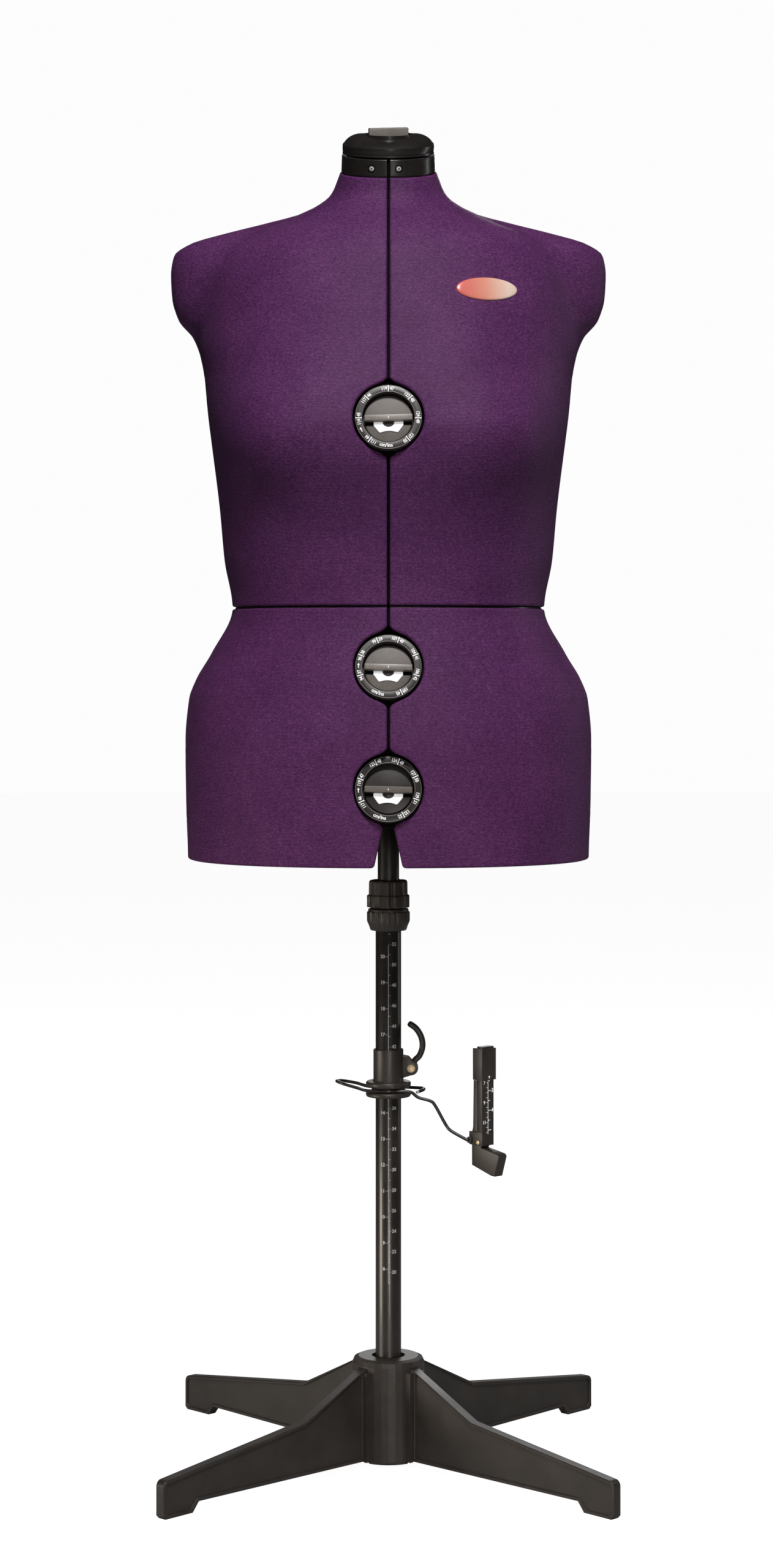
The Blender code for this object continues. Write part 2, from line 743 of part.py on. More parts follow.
def marker_sleeve():
    low, groove_low, groove_high, high = FLANGE_Z
    sleeve = turned(
        "marker_sleeve",
        [
            (SLEEVE_R, SLEEVE_TOP),
            (SLEEVE_R, high),
            (FLANGE_R, high),
            (FLANGE_R, groove_high),
            (GROOVE_R, groove_high),
            (GROOVE_R, groove_low),
            (FLANGE_R, groove_low),
            (FLANGE_R, low),
            (SLEEVE_BORE_R, low),
            (SLEEVE_BORE_R, SLEEVE_TOP),
        ],
        STAND,
    )
    upright = Matrix.Rotation(math.pi / 2, 4, "X")
    ear = [(0.0135, 0.3965), (0.0200, 0.3952)]
    for turn in range(60, -91, -30):
        a = math.radians(turn)
        ear.append((PIVOT.x + 0.0070 * math.cos(a), PIVOT.z + 0.0070 * math.sin(a)))
    ear += [(0.0135, 0.3745)]
    for side in (-1, 1):
        shift = Matrix.Translation((0, side * (EAR_GAP + EAR_THICK / 2), 0))
        join(sleeve, plate(f"ear_{side}", ear[::-1], EAR_THICK, None, shift @ upright))
    way = Vector((0, 0.012, 0))
    cut(sleeve, cylinder("pin_way", 0.0023, PIVOT - way, PIVOT + way, steps=12))
    return sleeve


def cam_lever():
    """Round hook that is pulled out to free the sleeve, turning on a pin between the sleeve's ears."""
    half = EAR_GAP - 0.0005
    hook = [Vector(p) for p in (
        (0.0262, 0, 0.3915), (0.0306, 0, 0.3962), (0.0334, 0, 0.4048), (0.0322, 0, 0.4140),
        (0.0272, 0, 0.4224), (0.0196, 0, 0.4280),
    )]
    boss = Vector((0, half, 0))
    lever = cylinder("cam_lever", 0.0062, PIVOT - boss, PIVOT + boss, STAND, 16)
    join(lever, made_mesh(tube_along("lever_hook", through([PIVOT + Vector((0.0015, 0, 0.002)), *hook], 2), 0.0028, None, 1)))
    way = Vector((0, 0.012, 0))
    cut(lever, cylinder("lever_way", 0.0023, PIVOT - way, PIVOT + way, steps=12))
    face = EAR_GAP + EAR_THICK + GAP
    place = Matrix.Translation(PIVOT) @ Matrix.Rotation(math.pi / 2, 4, "X")
    turned(
        "lever_pin",
        [(0, face + 0.0018), (0.0036, face + 0.0014), (0.0036, face), (0.0020, face), (0.0020, -face - 0.001), (0, -face - 0.001)],
        BRASS,
        12,
        place,
    )


def marker_wire():
    """One sprung wire: hook, back of the groove, finger loop, front of the groove, arm to the clip."""
    ring = GROOVE_R + WIRE_R + 0.0007
    mid = (FLANGE_Z[1] + FLANGE_Z[2]) / 2

    def on_ring(degrees):
        a = math.radians(degrees)
        return Vector((ring * math.cos(a), ring * math.sin(a), mid))

    route = [
        Vector((0.0275, -0.0090, mid - 0.0022)),
        Vector((0.0342, -0.0040, mid - 0.0003)),
        Vector((0.0335, 0.0035, mid + 0.0002)),
        Vector((0.0250, 0.0090, mid)),
        *(on_ring(a) for a in (50, 80, 110)),
        Vector((-0.0190, 0.0165, mid + 0.0001)),
        Vector((-0.0320, 0.0140, mid + 0.0040)),
        Vector((-0.0450, 0.0095, mid + 0.0068)),
        Vector((-0.0505, 0.0020, mid + 0.0074)),
        Vector((-0.0440, -0.0060, mid + 0.0058)),
        Vector((-0.0310, -0.0105, mid + 0.0026)),
        Vector((-0.0215, -0.0130, mid + 0.0002)),
        *(on_ring(a) for a in (240, 270, 300)),
        Vector((0.0215, -0.0160, mid - 0.0008)),
        Vector((0.0290, -0.0175, mid - 0.0058)),
        Vector((0.0405, -0.0190, mid - 0.0090)),
        Vector((0.0455, -0.0200, mid - 0.0135)),
        Vector((0.0560, -0.0225, mid - 0.0320)),
        Vector((0.0615, -0.0260, mid - 0.0375)),
        clip_frame() @ WIRE_END,
    ]
    return tube_along("marker_wire", through(route, 2), WIRE_R, PAINTED, 1)


def clip_frame():
    """Local X across the clip, local Y out of its front, local Z up, from the clip's pin."""
    forward = Vector((math.sin(CLIP_TURN), -math.cos(CLIP_TURN), 0))
    up = Vector((0, 0, 1))
    return Matrix.Translation(CLIP_AT) @ Matrix((forward.cross(up), forward, up)).transposed().to_4x4()


def block(name, low, high, place, look=None):
    """A box between two corners, in the frame of place."""
    size = [b - a for a, b in zip(low, high)]
    made = box_mesh(name, size, [(a + b) / 2 for a, b in zip(low, high)], look)
    made.matrix_world = place
    return made


def hem_clip():
    """Scale bar with a sliding index, and a sprung jaw behind it with a thumb tab, on one brass pin."""
    place = clip_frame()
    half, (back, front) = CLIP_WIDTH / 2, CLIP_FACES
    bar = block("clip_bar", (-half, back, 0.0090), (half, front, CLIP_TOP), place, STAND)
    join(bar, block("bar_front_wall", (-half, front - 0.0017, -0.0030), (half, front, 0.0110), place))
    for side, a, b in (("right", -half, -half + CLIP_CHEEK), ("left", half - CLIP_CHEEK, half)):
        join(bar, block(f"bar_cheek_{side}", (a, -0.0130, -0.0030), (b, front - 0.0004, 0.0100), place))
    x, y, z = WIRE_END
    join(bar, block("wire_socket", (half - 0.001, y - 0.0026, z - 0.003), (x - 0.0016, y + 0.0023, z + 0.003), place))
    side_on = place @ Matrix(((0, 0, 1, 0), (1, 0, 0, 0), (0, 1, 0, 0), (0, 0, 0, 1)))
    jaw_side = [
        (-0.0040, 0.0595), (-0.0092, 0.0595), (-0.0100, 0.0140), (-0.0125, 0.0060), (-0.0116, -0.0040),
        (-0.0116, -0.0237), (0.0213, -0.0322), (0.0256, -0.0315), (0.0302, -0.0120), (0.0280, -0.0095),
        (0.0012, -0.0053), (0.0030, -0.0016), (0.0030, 0.0018), (0.0000, 0.0034), (-0.0040, 0.0080),
    ]
    jaw = plate("clip_jaw", jaw_side, JAW_WIDTH, STAND, side_on)
    jaw.data.materials.append(STAND)
    across = Vector((0.012, 0, 0))
    for target in (bar, jaw):
        way = cylinder(f"{target.name}_pin_way", 0.0016, -across, across, steps=10)
        way.matrix_world = place
        cut(target, way)
    pin = cylinder("clip_pin", 0.0013, (-half - 0.0006, 0, 0), (half + 0.0006, 0, 0), BRASS, 10)
    pin.matrix_world = place
    low, high = SLIDER_Z
    slider = block("clip_slider", (-half - 0.0024, -0.0088, low), (half + 0.0024, front + 0.0016, high), place, STAND)
    cut(slider, block("bar_way", (-half - GAP, back - GAP, low - 0.01), (half + GAP, front + GAP, high + 0.01), place))
    way = JAW_WIDTH / 2 + GAP
    cut(slider, block("jaw_way", (-way, -0.02, low - 0.01), (way, front - 0.001, high + 0.01), place))


torso_panels()
size_dials()
torso_frame()
neck_cap_and_knob()
legs()
hub()
stand_tubes()
marker_sleeve()
cam_lever()
marker_wire()
hem_clip()
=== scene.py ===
"""Looks of the adjustable dress form: panels, dials, stand and hem marker, with their materials."""

import math

import bmesh
import bpy
import numpy as np
from mathutils import Matrix, Vector


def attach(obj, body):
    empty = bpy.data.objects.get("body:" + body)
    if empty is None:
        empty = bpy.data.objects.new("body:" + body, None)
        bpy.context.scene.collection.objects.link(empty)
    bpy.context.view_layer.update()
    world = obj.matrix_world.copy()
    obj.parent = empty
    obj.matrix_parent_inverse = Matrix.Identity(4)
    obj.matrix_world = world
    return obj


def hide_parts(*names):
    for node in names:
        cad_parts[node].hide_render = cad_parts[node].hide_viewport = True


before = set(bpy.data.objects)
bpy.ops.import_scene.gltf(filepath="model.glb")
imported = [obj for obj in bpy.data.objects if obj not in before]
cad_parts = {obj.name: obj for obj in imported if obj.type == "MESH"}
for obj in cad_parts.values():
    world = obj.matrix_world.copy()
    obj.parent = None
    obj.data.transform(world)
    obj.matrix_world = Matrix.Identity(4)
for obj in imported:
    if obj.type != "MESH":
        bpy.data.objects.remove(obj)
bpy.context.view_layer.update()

scene = bpy.context.scene

# ---- Camera ----------------------------------------------------------------------------------

camera = bpy.data.objects.new("camera", bpy.data.cameras.new("camera"))
camera.data.lens = 71.5
camera.data.sensor_width = 36
camera.data.shift_x = -0.0012
camera.data.shift_y = -0.088
camera.data.clip_end = 100
camera.location = (0, -3.05, 0.797)
camera.rotation_euler = (math.pi / 2, 0, 0)
scene.collection.objects.link(camera)
scene.camera = camera

# ---- Materials -------------------------------------------------------------------------------


class Look:
    """A Principled material with short calls for its nodes."""

    def __init__(self, name, **sockets):
        self.made = bpy.data.materials.new(name)
        self.made.use_nodes = True
        self.tree = self.made.node_tree
        self.shader = self.tree.nodes["Principled BSDF"]
        for socket, value in sockets.items():
            self.shader.inputs[socket.replace("_", " ")].default_value = value
        self.place = self.node("ShaderNodeTexCoord").outputs["Object"]

    def node(self, kind, inputs=(), **settings):
        made = self.tree.nodes.new(kind)
        for key, value in settings.items():
            setattr(made, key, value)
        for key, value in dict(inputs).items():
            self.put(value, made.inputs[key])
        return made

    def put(self, value, socket):
        if isinstance(value, bpy.types.NodeSocket):
            self.tree.links.new(value, socket)
        else:
            socket.default_value = value

    def noise(self, scale, detail=3.0, roughness=0.6, where=None):
        return self.node(
            "ShaderNodeTexNoise",
            {"Vector": where or self.place, "Scale": scale, "Detail": detail, "Roughness": roughness},
        ).outputs["Fac"]

    def maths(self, operation, a, b=0.0, c=0.0):
        return self.node("ShaderNodeMath", {0: a, 1: b, 2: c}, operation=operation).outputs[0]

    def ramp(self, factor, *stops):
        made = self.node("ShaderNodeValToRGB", {"Fac": factor})
        points = made.color_ramp.elements
        while len(points) < len(stops):
            points.new(0.5)
        for point, (position, colour) in zip(points, stops):
            point.position = position
            point.color = (*colour, 1) if len(colour) == 3 else colour
        return made.outputs["Color"]

    def spread(self, value, low, high, from_low=0.3, from_high=0.7):
        limits = {"From Min": from_low, "From Max": from_high, "To Min": low, "To Max": high}
        return self.node("ShaderNodeMapRange", {"Value": value, **limits}).outputs[0]

    def bump(self, height, distance, strength=1.0, onto=None):
        made = self.node("ShaderNodeBump", {"Height": height, "Distance": distance, "Strength": strength})
        if onto:
            self.put(onto, made.inputs["Normal"])
        return made.outputs["Normal"]

    def use(self, socket, value):
        self.put(value, self.shader.inputs[socket])


def moulded(name, dark, light, roughness, grain=1400, depth=0.00006, **sockets):
    """Moulded or painted: uneven tone and gloss, and a fine grain."""
    # White emission, so a look given an Emission_Strength glows: painted light.
    look = Look(name, Coat_Roughness=0.12, Emission_Color=(1, 1, 1, 1), **sockets)
    broad, fine = look.noise(28, 4), look.noise(grain, 2)
    mixed = look.maths("ADD", look.maths("MULTIPLY", broad, 0.55), look.maths("MULTIPLY", fine, 0.45))
    look.use("Base Color", look.ramp(mixed, (0.36, dark), (0.64, light)))
    look.use("Roughness", look.spread(broad, roughness - 0.05, roughness + 0.06))
    look.use("Normal", look.bump(fine, depth))
    return look.made


def jersey_look():
    """Heathered knit with fine horizontal ribs that wander a little."""
    rib_pitch = 0.0013
    look = Look(
        "heathered_jersey", Specular_IOR_Level=0.14, Sheen_Weight=0.03, Sheen_Roughness=0.40,
        Sheen_Tint=(0.62, 0.42, 0.80, 1),
    )
    split = look.node("ShaderNodeSeparateXYZ", {0: look.place})
    drift = look.maths("MULTIPLY", look.maths("SUBTRACT", look.noise(3.5, 1), 0.5), 0.007)
    jitter = look.maths("MULTIPLY", look.maths("SUBTRACT", look.noise(420, 1), 0.5), 0.0011)
    level = look.maths("ADD", look.maths("ADD", split.outputs[2], drift), jitter)
    rib = look.maths("SINE", look.maths("MULTIPLY", level, 2 * math.pi / rib_pitch))
    rib = look.maths("MULTIPLY_ADD", rib, 0.5, 0.5)
    flat = look.node("ShaderNodeMapping", {"Vector": look.place, "Scale": (1.0, 1.0, 2.2)}).outputs[0]
    stitches, heather = look.noise(900, 2, 0.7, flat), look.noise(330, 3, 0.75, flat)
    cloud = look.noise(18, 3)
    tone = look.maths("MULTIPLY_ADD", rib, 0.09, look.maths("MULTIPLY", stitches, 0.50))
    tone = look.maths("ADD", tone, look.maths("MULTIPLY", heather, 0.42))
    tone = look.maths("ADD", tone, look.maths("MULTIPLY", cloud, 0.12))
    dark, middle, light = (0.028, 0.006, 0.035), (0.086, 0.020, 0.095), (0.245, 0.084, 0.245)
    look.use("Base Color", look.ramp(tone, (0.34, dark), (0.55, middle), (0.78, light)))
    look.use("Roughness", look.spread(stitches, 0.44, 0.64))
    look.use("Normal", look.bump(stitches, 0.00022, 0.8, look.bump(rib, 0.00013, 0.8)))
    return look.made


def badge_look():
    """Coral that fades to pale pink towards the end nearer the arm."""
    look = Look("badge_enamel", Roughness=0.32, Coat_Weight=0.35, Coat_Roughness=0.15)
    across = look.node("ShaderNodeSeparateXYZ", {0: look.place}).outputs[0]
    fade = look.spread(across, 0.0, 1.0, 0.066, 0.116)
    wander = look.maths("MULTIPLY", look.maths("SUBTRACT", look.noise(60, 2), 0.5), 0.10)
    fade = look.maths("ADD", fade, wander)
    coral, peach, pale = (0.74, 0.135, 0.105), (0.85, 0.36, 0.26), (0.93, 0.72, 0.60)
    look.use("Base Color", look.ramp(fade, (0.05, coral), (0.55, peach), (0.95, pale)))
    look.use("Normal", look.bump(look.noise(300, 2), 0.00008))
    return look.made


JERSEY = jersey_look()
GLOSSY = moulded(
    "glossy_black_plastic", (0.011, 0.009, 0.008), (0.022, 0.019, 0.017), 0.30, 900, 0.00002, Coat_Weight=0.12
)
INSIDE = moulded("inner_plastic", (0.010, 0.009, 0.010), (0.018, 0.016, 0.017), 0.55)
RING = moulded("dial_ring_plastic", (0.028, 0.024, 0.023), (0.050, 0.043, 0.040), 0.36, 1500, 0.00007)
DISC = moulded("dial_disc_plastic", (0.096, 0.080, 0.070), (0.180, 0.155, 0.136), 0.46, 1700, 0.00012)
# A lighter copy of the dial plastic: painted light, for the finger bars where they catch the light and for
# highlight lines round the number rings.
PAINTED_LIT_PLASTIC = moulded("dial_plastic_painted_lit", (0.180, 0.154, 0.138), (0.300, 0.264, 0.236), 0.34, 1300, 0.00008)
STAND = moulded("satin_stand_plastic", (0.022, 0.0182, 0.0155), (0.044, 0.0365, 0.031), 0.42, 900, 0.00003)
PAINT = moulded(
    "black_enamel_steel", (0.014, 0.012, 0.0106), (0.027, 0.0232, 0.0206), 0.34, 500, 0.00001, Coat_Weight=0.2
)
# A darker copy of the ring plastic for the hip dials: painted shade.
PAINTED_SHADE_RING = moulded("dial_ring_painted_shade", (0.014, 0.012, 0.011), (0.030, 0.026, 0.024), 0.36, 1500, 0.00007)
# The white insert glows a little: painted light that lifts the shade the finger bar casts on it.
WHITE_PAINTED_GLOW = moulded(
    "white_insert_painted_glow", (0.86, 0.86, 0.87), (0.94, 0.94, 0.95), 0.35, 900, 0.00003, Emission_Strength=0.45
)
# White print that glows a little: the print is the dials' own marking, the glow is painted light.
PRINT_PAINTED_GLOW = moulded(
    "white_print_painted_glow", (0.84, 0.84, 0.84), (0.95, 0.95, 0.95), 0.6, 2500, 0.00001, Emission_Strength=0.22
)
FAINT = moulded("grey_print", (0.42, 0.42, 0.42), (0.62, 0.62, 0.62), 0.6, 2500, 0.00001)
# Light grey and only a little metallic: the steel's grey, with its brightness a painted reflection of the
# studio.
STEEL_PAINTED_REFLECTION = moulded("steel_painted_reflection", (0.62, 0.63, 0.62), (0.84, 0.85, 0.84), 0.30, 1500, 0.00003, Metallic=0.3)
BRASS = moulded("worn_brass", (0.50, 0.37, 0.20), (0.80, 0.65, 0.42), 0.32, 1500, 0.00002, Metallic=0.4)
# Near black with almost no reflection: painted shade, put in the seams' slits, round the dial openings, under
# the finger bars and round the screws.
PAINTED_SHADE = moulded("painted_shade_black", (0.002, 0.002, 0.002), (0.004, 0.004, 0.004), 0.7, Specular_IOR_Level=0.04)
BADGE = badge_look()

# ---- Shape helpers ---------------------------------------------------------------------------


def shift(x=0.0, y=0.0, z=0.0):
    return Matrix.Translation((x, y, z))


def spin(degrees, axis="Z"):
    return Matrix.Rotation(math.radians(degrees), 4, axis)


def arc(x, y, across, up, start, stop, step):
    """Points round an ellipse about (x, y), at the angles in degrees that range gives."""
    angles = [math.radians(turn) for turn in range(start, stop, step)]
    return [(x + across * math.cos(a), y + up * math.sin(a)) for a in angles]


def through(points, per_span):
    """Points along a Catmull-Rom curve through the given ones."""
    ends = [points[0] * 2 - points[1], *points, points[-1] * 2 - points[-2]]
    found = []
    for a, b, c, d in zip(ends, ends[1:], ends[2:], ends[3:]):
        for step in range(per_span):
            t = step / per_span
            bend, twist = 2 * a - 5 * b + 4 * c - d, 3 * b - a - 3 * c + d
            found.append(0.5 * (2 * b + (c - a) * t + bend * t**2 + twist * t**3))
    return [*found, points[-1]]


def bridge(bm, low, high):
    """Faces between two rings of points. Either ring may be a single point."""
    count = max(len(low), len(high))
    for i in range(count):
        j = (i + 1) % count
        around = (low[i % len(low)], low[j % len(low)], high[j % len(high)], high[i % len(high)])
        corners = list(dict.fromkeys(around))
        if len(corners) > 2:
            bm.faces.new(corners)


def round_edges(bm, edges, width, segments):
    if width:
        bmesh.ops.bevel(bm, geom=edges, offset=width, segments=segments, profile=0.5, affect="EDGES")


class Piece:
    """Shapes gathered into one object, each with the look it is given."""

    def __init__(self):
        self.bm, self.looks = bmesh.new(), []

    def take(self, bm, look, place=None):
        if look not in self.looks:
            self.looks.append(look)
        if place is not None:
            bmesh.ops.transform(bm, matrix=place, verts=bm.verts)
        bmesh.ops.recalc_face_normals(bm, faces=bm.faces)
        for face in bm.faces:
            face.material_index = self.looks.index(look)
        mesh = bpy.data.meshes.new("taken")
        bm.to_mesh(mesh)
        bm.free()
        self.bm.from_mesh(mesh)
        bpy.data.meshes.remove(mesh)
        return self

    def take_mesh(self, mesh, look, place=None):
        bm = bmesh.new()
        bm.from_mesh(mesh)
        bpy.data.meshes.remove(mesh)
        return self.take(bm, look, place)

    def turned(self, profile, look, place=None, steps=72, radius_at=None):
        """A body turned about its own Z. radius_at(angle, r, z) can vary the radius round it."""
        bm, rings = bmesh.new(), []
        for r, z in profile:
            ring = []
            for i in range(steps if r else 1):
                a = 2 * math.pi * i / steps
                q = radius_at(a, r, z) if radius_at else r
                ring.append(bm.verts.new((q * math.cos(a), q * math.sin(a), z)))
            rings.append(ring)
        if profile[0][0] and profile[-1][0]:
            rings.append(rings[0])
        for low, high in zip(rings, rings[1:]):
            bridge(bm, low, high)
        return self.take(bm, look, place)

    def block(self, low, high, look, place=None, bevel=0.0006, segments=3):
        bm = bmesh.new()
        bmesh.ops.create_cube(bm, size=1.0)
        for v in bm.verts:
            v.co = [(a + b) / 2 + c * (b - a) for a, b, c in zip(low, high, v.co)]
        round_edges(bm, list(bm.edges), bevel, segments)
        return self.take(bm, look, place)

    def plate(self, outline, thickness, look, place=None, bevel=0.0006, segments=2):
        """A flat outline in local X and Y, thick evenly to both sides, with its rims rounded."""
        bm = bmesh.new()
        face = bm.faces.new([bm.verts.new((x, y, -thickness / 2)) for x, y in outline])
        for v in bmesh.ops.extrude_face_region(bm, geom=[face])["geom"]:
            if isinstance(v, bmesh.types.BMVert):
                v.co.z += thickness
        rims = [e for e in bm.edges if abs(e.verts[0].co.z - e.verts[1].co.z) < 1e-7]
        round_edges(bm, rims, bevel, segments)
        return self.take(bm, look, place)

    def mark(self, low, high, thickness, look, place):
        """A printed rectangle."""
        outline = [low, (high[0], low[1]), high, (low[0], high[1])]
        return self.plate(outline, thickness, look, place, 0)

    def bar(self, points, radius, look, place=None, sides=14):
        """A round bar along points, carried without twist. radius can be one number or one for each point."""
        points = [Vector(p) for p in points]
        radii = radius if hasattr(radius, "__len__") else [radius] * len(points)
        bm, rings = bmesh.new(), []
        turns = [2 * math.pi * i / sides for i in range(sides)]
        ways = [(b - a).normalized() for a, b in zip(points, points[1:])]
        ways = [ways[0], *((a + b).normalized() for a, b in zip(ways, ways[1:])), ways[-1]]
        side = ways[0].orthogonal().normalized()
        for point, way, r in zip(points, ways, radii):
            side = (side - way * side.dot(way)).normalized()
            other = way.cross(side)
            around = [(side * math.cos(a) + other * math.sin(a)) * r for a in turns]
            rings.append([bm.verts.new(point + out) for out in around])
        for low, high in zip(rings, rings[1:]):
            bridge(bm, low, high)
        bm.faces.new(rings[0][::-1])
        bm.faces.new(rings[-1])
        return self.take(bm, look, place)

    def words(self, text, size, look, place, align="CENTER"):
        curve = bpy.data.curves.new("words", "FONT")
        curve.body, curve.size, curve.resolution_u = text, size, 3
        curve.align_x, curve.align_y = align, "CENTER"
        curve.offset = size * 0.030
        made = bpy.data.objects.new("words", curve)
        scene.collection.objects.link(made)
        mesh = bpy.data.meshes.new_from_object(made.evaluated_get(bpy.context.evaluated_depsgraph_get()))
        bpy.data.objects.remove(made)
        return self.take_mesh(mesh, look, place)

    def make(self, name, body, stands_for=(), slot=None, sharp=38):
        mesh = bpy.data.meshes.new(name)
        self.bm.to_mesh(mesh)
        self.bm.free()
        for look in self.looks:
            mesh.materials.append(look)
        mesh.shade_smooth()
        mesh.set_sharp_from_angle(angle=math.radians(sharp))
        made = bpy.data.objects.new(name, mesh)
        scene.collection.objects.link(made)
        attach(made, body)
        if stands_for:
            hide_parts(*stands_for)
        return made


def skinned(name, over, below):
    """A closed mesh between two grids of points that have the same rows and columns."""
    rows, columns = over.shape[:2]
    number = np.arange(rows * columns).reshape(rows, columns)
    corners = (number[:-1, :-1], number[:-1, 1:], number[1:, 1:], number[1:, :-1])
    quads = np.stack(corners, -1).reshape(-1, 4)
    rim = np.concatenate([number[0, :], number[1:, -1], number[-1, -2::-1], number[-2:0:-1, 0]])
    after = np.roll(rim, -1)
    wall = np.stack([after, rim, rim + rows * columns, after + rows * columns], -1)
    points = np.concatenate([over.reshape(-1, 3), below.reshape(-1, 3)])
    faces = np.concatenate([quads, quads[:, ::-1] + rows * columns, wall])
    mesh = bpy.data.meshes.new(name)
    mesh.from_pydata(points.tolist(), [], faces.tolist())
    return mesh


# ---- Torso surface ---------------------------------------------------------------------------

HEM_Z, WAIST_Z, FABRIC_TOP, COLLAR_TOP = 0.590, 0.834, 1.2615, 1.2771
SECTIONS = (
    (0.590, 0.1958, 0.154, 0.158), (0.640, 0.1974, 0.157, 0.164), (0.705, 0.1982, 0.159, 0.167),
    (0.745, 0.1948, 0.155, 0.162), (0.765, 0.1875, 0.152, 0.158), (0.790, 0.1728, 0.147, 0.151),
    (0.834, 0.1524, 0.142, 0.139), (0.880, 0.1600, 0.147, 0.141), (0.930, 0.1646, 0.156, 0.145),
    (0.980, 0.1706, 0.165, 0.149), (1.000, 0.1732, 0.166, 0.151), (1.025, 0.1763, 0.162, 0.153),
    (1.060, 0.1796, 0.153, 0.154), (1.090, 0.1835, 0.145, 0.154), (1.120, 0.1810, 0.137, 0.150),
    (1.150, 0.1770, 0.127, 0.143), (1.175, 0.1660, 0.116, 0.130), (1.195, 0.1400, 0.101, 0.113),
    (1.210, 0.1060, 0.086, 0.094), (1.223, 0.0785, 0.070, 0.075), (1.238, 0.0570, 0.0570, 0.0590),
    (1.252, 0.0502, 0.0515, 0.0515), (1.2615, 0.0472, 0.0490, 0.0490), (1.300, 0.0462, 0.0475, 0.0475),
)
ARMS = (
    (1.060, 0.1500, 0.030), (1.085, 0.1800, 0.040), (1.100, 0.1912, 0.047), (1.115, 0.2045, 0.053),
    (1.135, 0.2110, 0.058), (1.160, 0.2124, 0.060), (1.178, 0.2095, 0.056), (1.190, 0.1930, 0.047),
    (1.200, 0.1600, 0.038), (1.212, 0.1135, 0.030), (1.225, 0.0690, 0.022),
)
BODY_POWER, ARM_POWER, ARM_BLEND = 2.25, 2.6, 0.007
SWELLS = tuple(
    (math.radians(90 + side * turn), math.radians(wide), height, below, above, rise)
    for side in (-1, 1)
    for turn, wide, height, below, above, rise in (
        (180 - 34, 23, 0.992, 0.055, 0.075, 0.026),
        (33, 26, 0.690, 0.070, 0.060, 0.009),
        (38, 20, 1.120, 0.070, 0.050, 0.006),
    )
)
NECK_TILT = math.radians(15)
TILT_FROM, TILT_TO, LEAN_FROM = 1.185, 1.262, 1.245
SIDE_SEAM_Y, SIDE_DIAL_TURN = 0.045, math.radians(15)
DIAL_LEVELS = {"bust": 1.009, "waist": 0.778, "hip": 0.664}
DIAL_TILT = {
    "front": {"bust": 13, "waist": 17, "hip": 11},
    "back": {"bust": -4, "waist": 16, "hip": 0},
    "side": {"bust": -6, "waist": 26, "hip": 1},
}
DIAL_FACE_SINK = {"front": 0.0012, "back": 0.0018, "side": 0.0032}
SLIT_HALF, OPENING_R, ROLL_R = 0.0012, 0.0331, 0.0023
MOUTH_HALF, MOUTH_GROWS, HEM_CORNER = 0.0045, 0.0090, 0.003
THICK, UNDER, SHELL_THICK, COLLAR_INSET = 0.0025, 0.0028, 0.0025, 0.0012
LIP_NEAR, LIP_FAR, LIP_HALF, DIAL_CLEAR = 0.0060, 0.0074, 0.0075, 0.0385


def hermite(rows, height, column):
    """Monotone cubic through one column of a table whose first column is height."""
    if height <= rows[0][0]:
        return rows[0][column]
    if height >= rows[-1][0]:
        return rows[-1][column]
    i = next(k for k in range(len(rows) - 1) if rows[k][0] <= height < rows[k + 1][0])

    def slope(k):
        if k <= 0 or k >= len(rows) - 1:
            return 0.0
        left = (rows[k][column] - rows[k - 1][column]) / (rows[k][0] - rows[k - 1][0])
        right = (rows[k + 1][column] - rows[k][column]) / (rows[k + 1][0] - rows[k][0])
        return 0.0 if left * right <= 0 else 2 * left * right / (left + right)

    span = rows[i + 1][0] - rows[i][0]
    t = (height - rows[i][0]) / span
    a, b = rows[i][column], rows[i + 1][column]
    return (
        (2 * t**3 - 3 * t**2 + 1) * a
        + (t**3 - 2 * t**2 + t) * span * slope(i)
        + (3 * t**2 - 2 * t**3) * b
        + (t**3 - t**2) * span * slope(i + 1)
    )


def tabled(rows, column):
    heights = np.arange(rows[0][0], rows[-1][0] + 0.0003, 0.0005)
    return heights, np.array([hermite(rows, h, column) for h in heights])


HALF, FRONT, BACK = (tabled(SECTIONS, i) for i in (1, 2, 3))
ARM_REACH, ARM_DEPTH = (tabled(ARMS, i) for i in (1, 2))


def eased(t):
    t = np.clip(t, 0.0, 1.0)
    return t * t * (3 - 2 * t)


def rounded_section(across, along, half, depth, power):
    """The radius of a superellipse in the direction whose cosine and sine are across and along."""
    return ((across / half) ** power + (along / depth) ** power) ** (-1 / power)


def torso_radius(angle, height):
    across, along = np.abs(np.cos(angle)) + 1e-9, np.sin(angle)
    depth = np.where(along < 0, np.interp(height, *FRONT), np.interp(height, *BACK))
    along = np.abs(along) + 1e-9
    body = rounded_section(across, along, np.interp(height, *HALF), depth, BODY_POWER)
    for middle, wide, level, below, above, rise in SWELLS:
        turn = ((angle - middle + math.pi) % (2 * math.pi) - math.pi) / wide
        lift = (height - level) / np.where(height < level, below, above)
        body = body + rise * np.exp(-turn * turn - lift * lift)
    reach, arm_depth = np.interp(height, *ARM_REACH), np.interp(height, *ARM_DEPTH)
    arm = rounded_section(across, along, reach, arm_depth, ARM_POWER)
    blended = (body + arm + np.hypot(body - arm, ARM_BLEND)) / 2
    return np.where((height > ARMS[0][0]) & (height < ARMS[-1][0]), blended, body)


def surface(angle, height):
    r = torso_radius(angle, height)
    y = r * np.sin(angle)
    z = height + y * math.tan(NECK_TILT) * eased((height - TILT_FROM) / (TILT_TO - TILT_FROM))
    return np.stack([r * np.cos(angle), y - math.tan(NECK_TILT) * np.maximum(0.0, height - LEAN_FROM), z], -1)


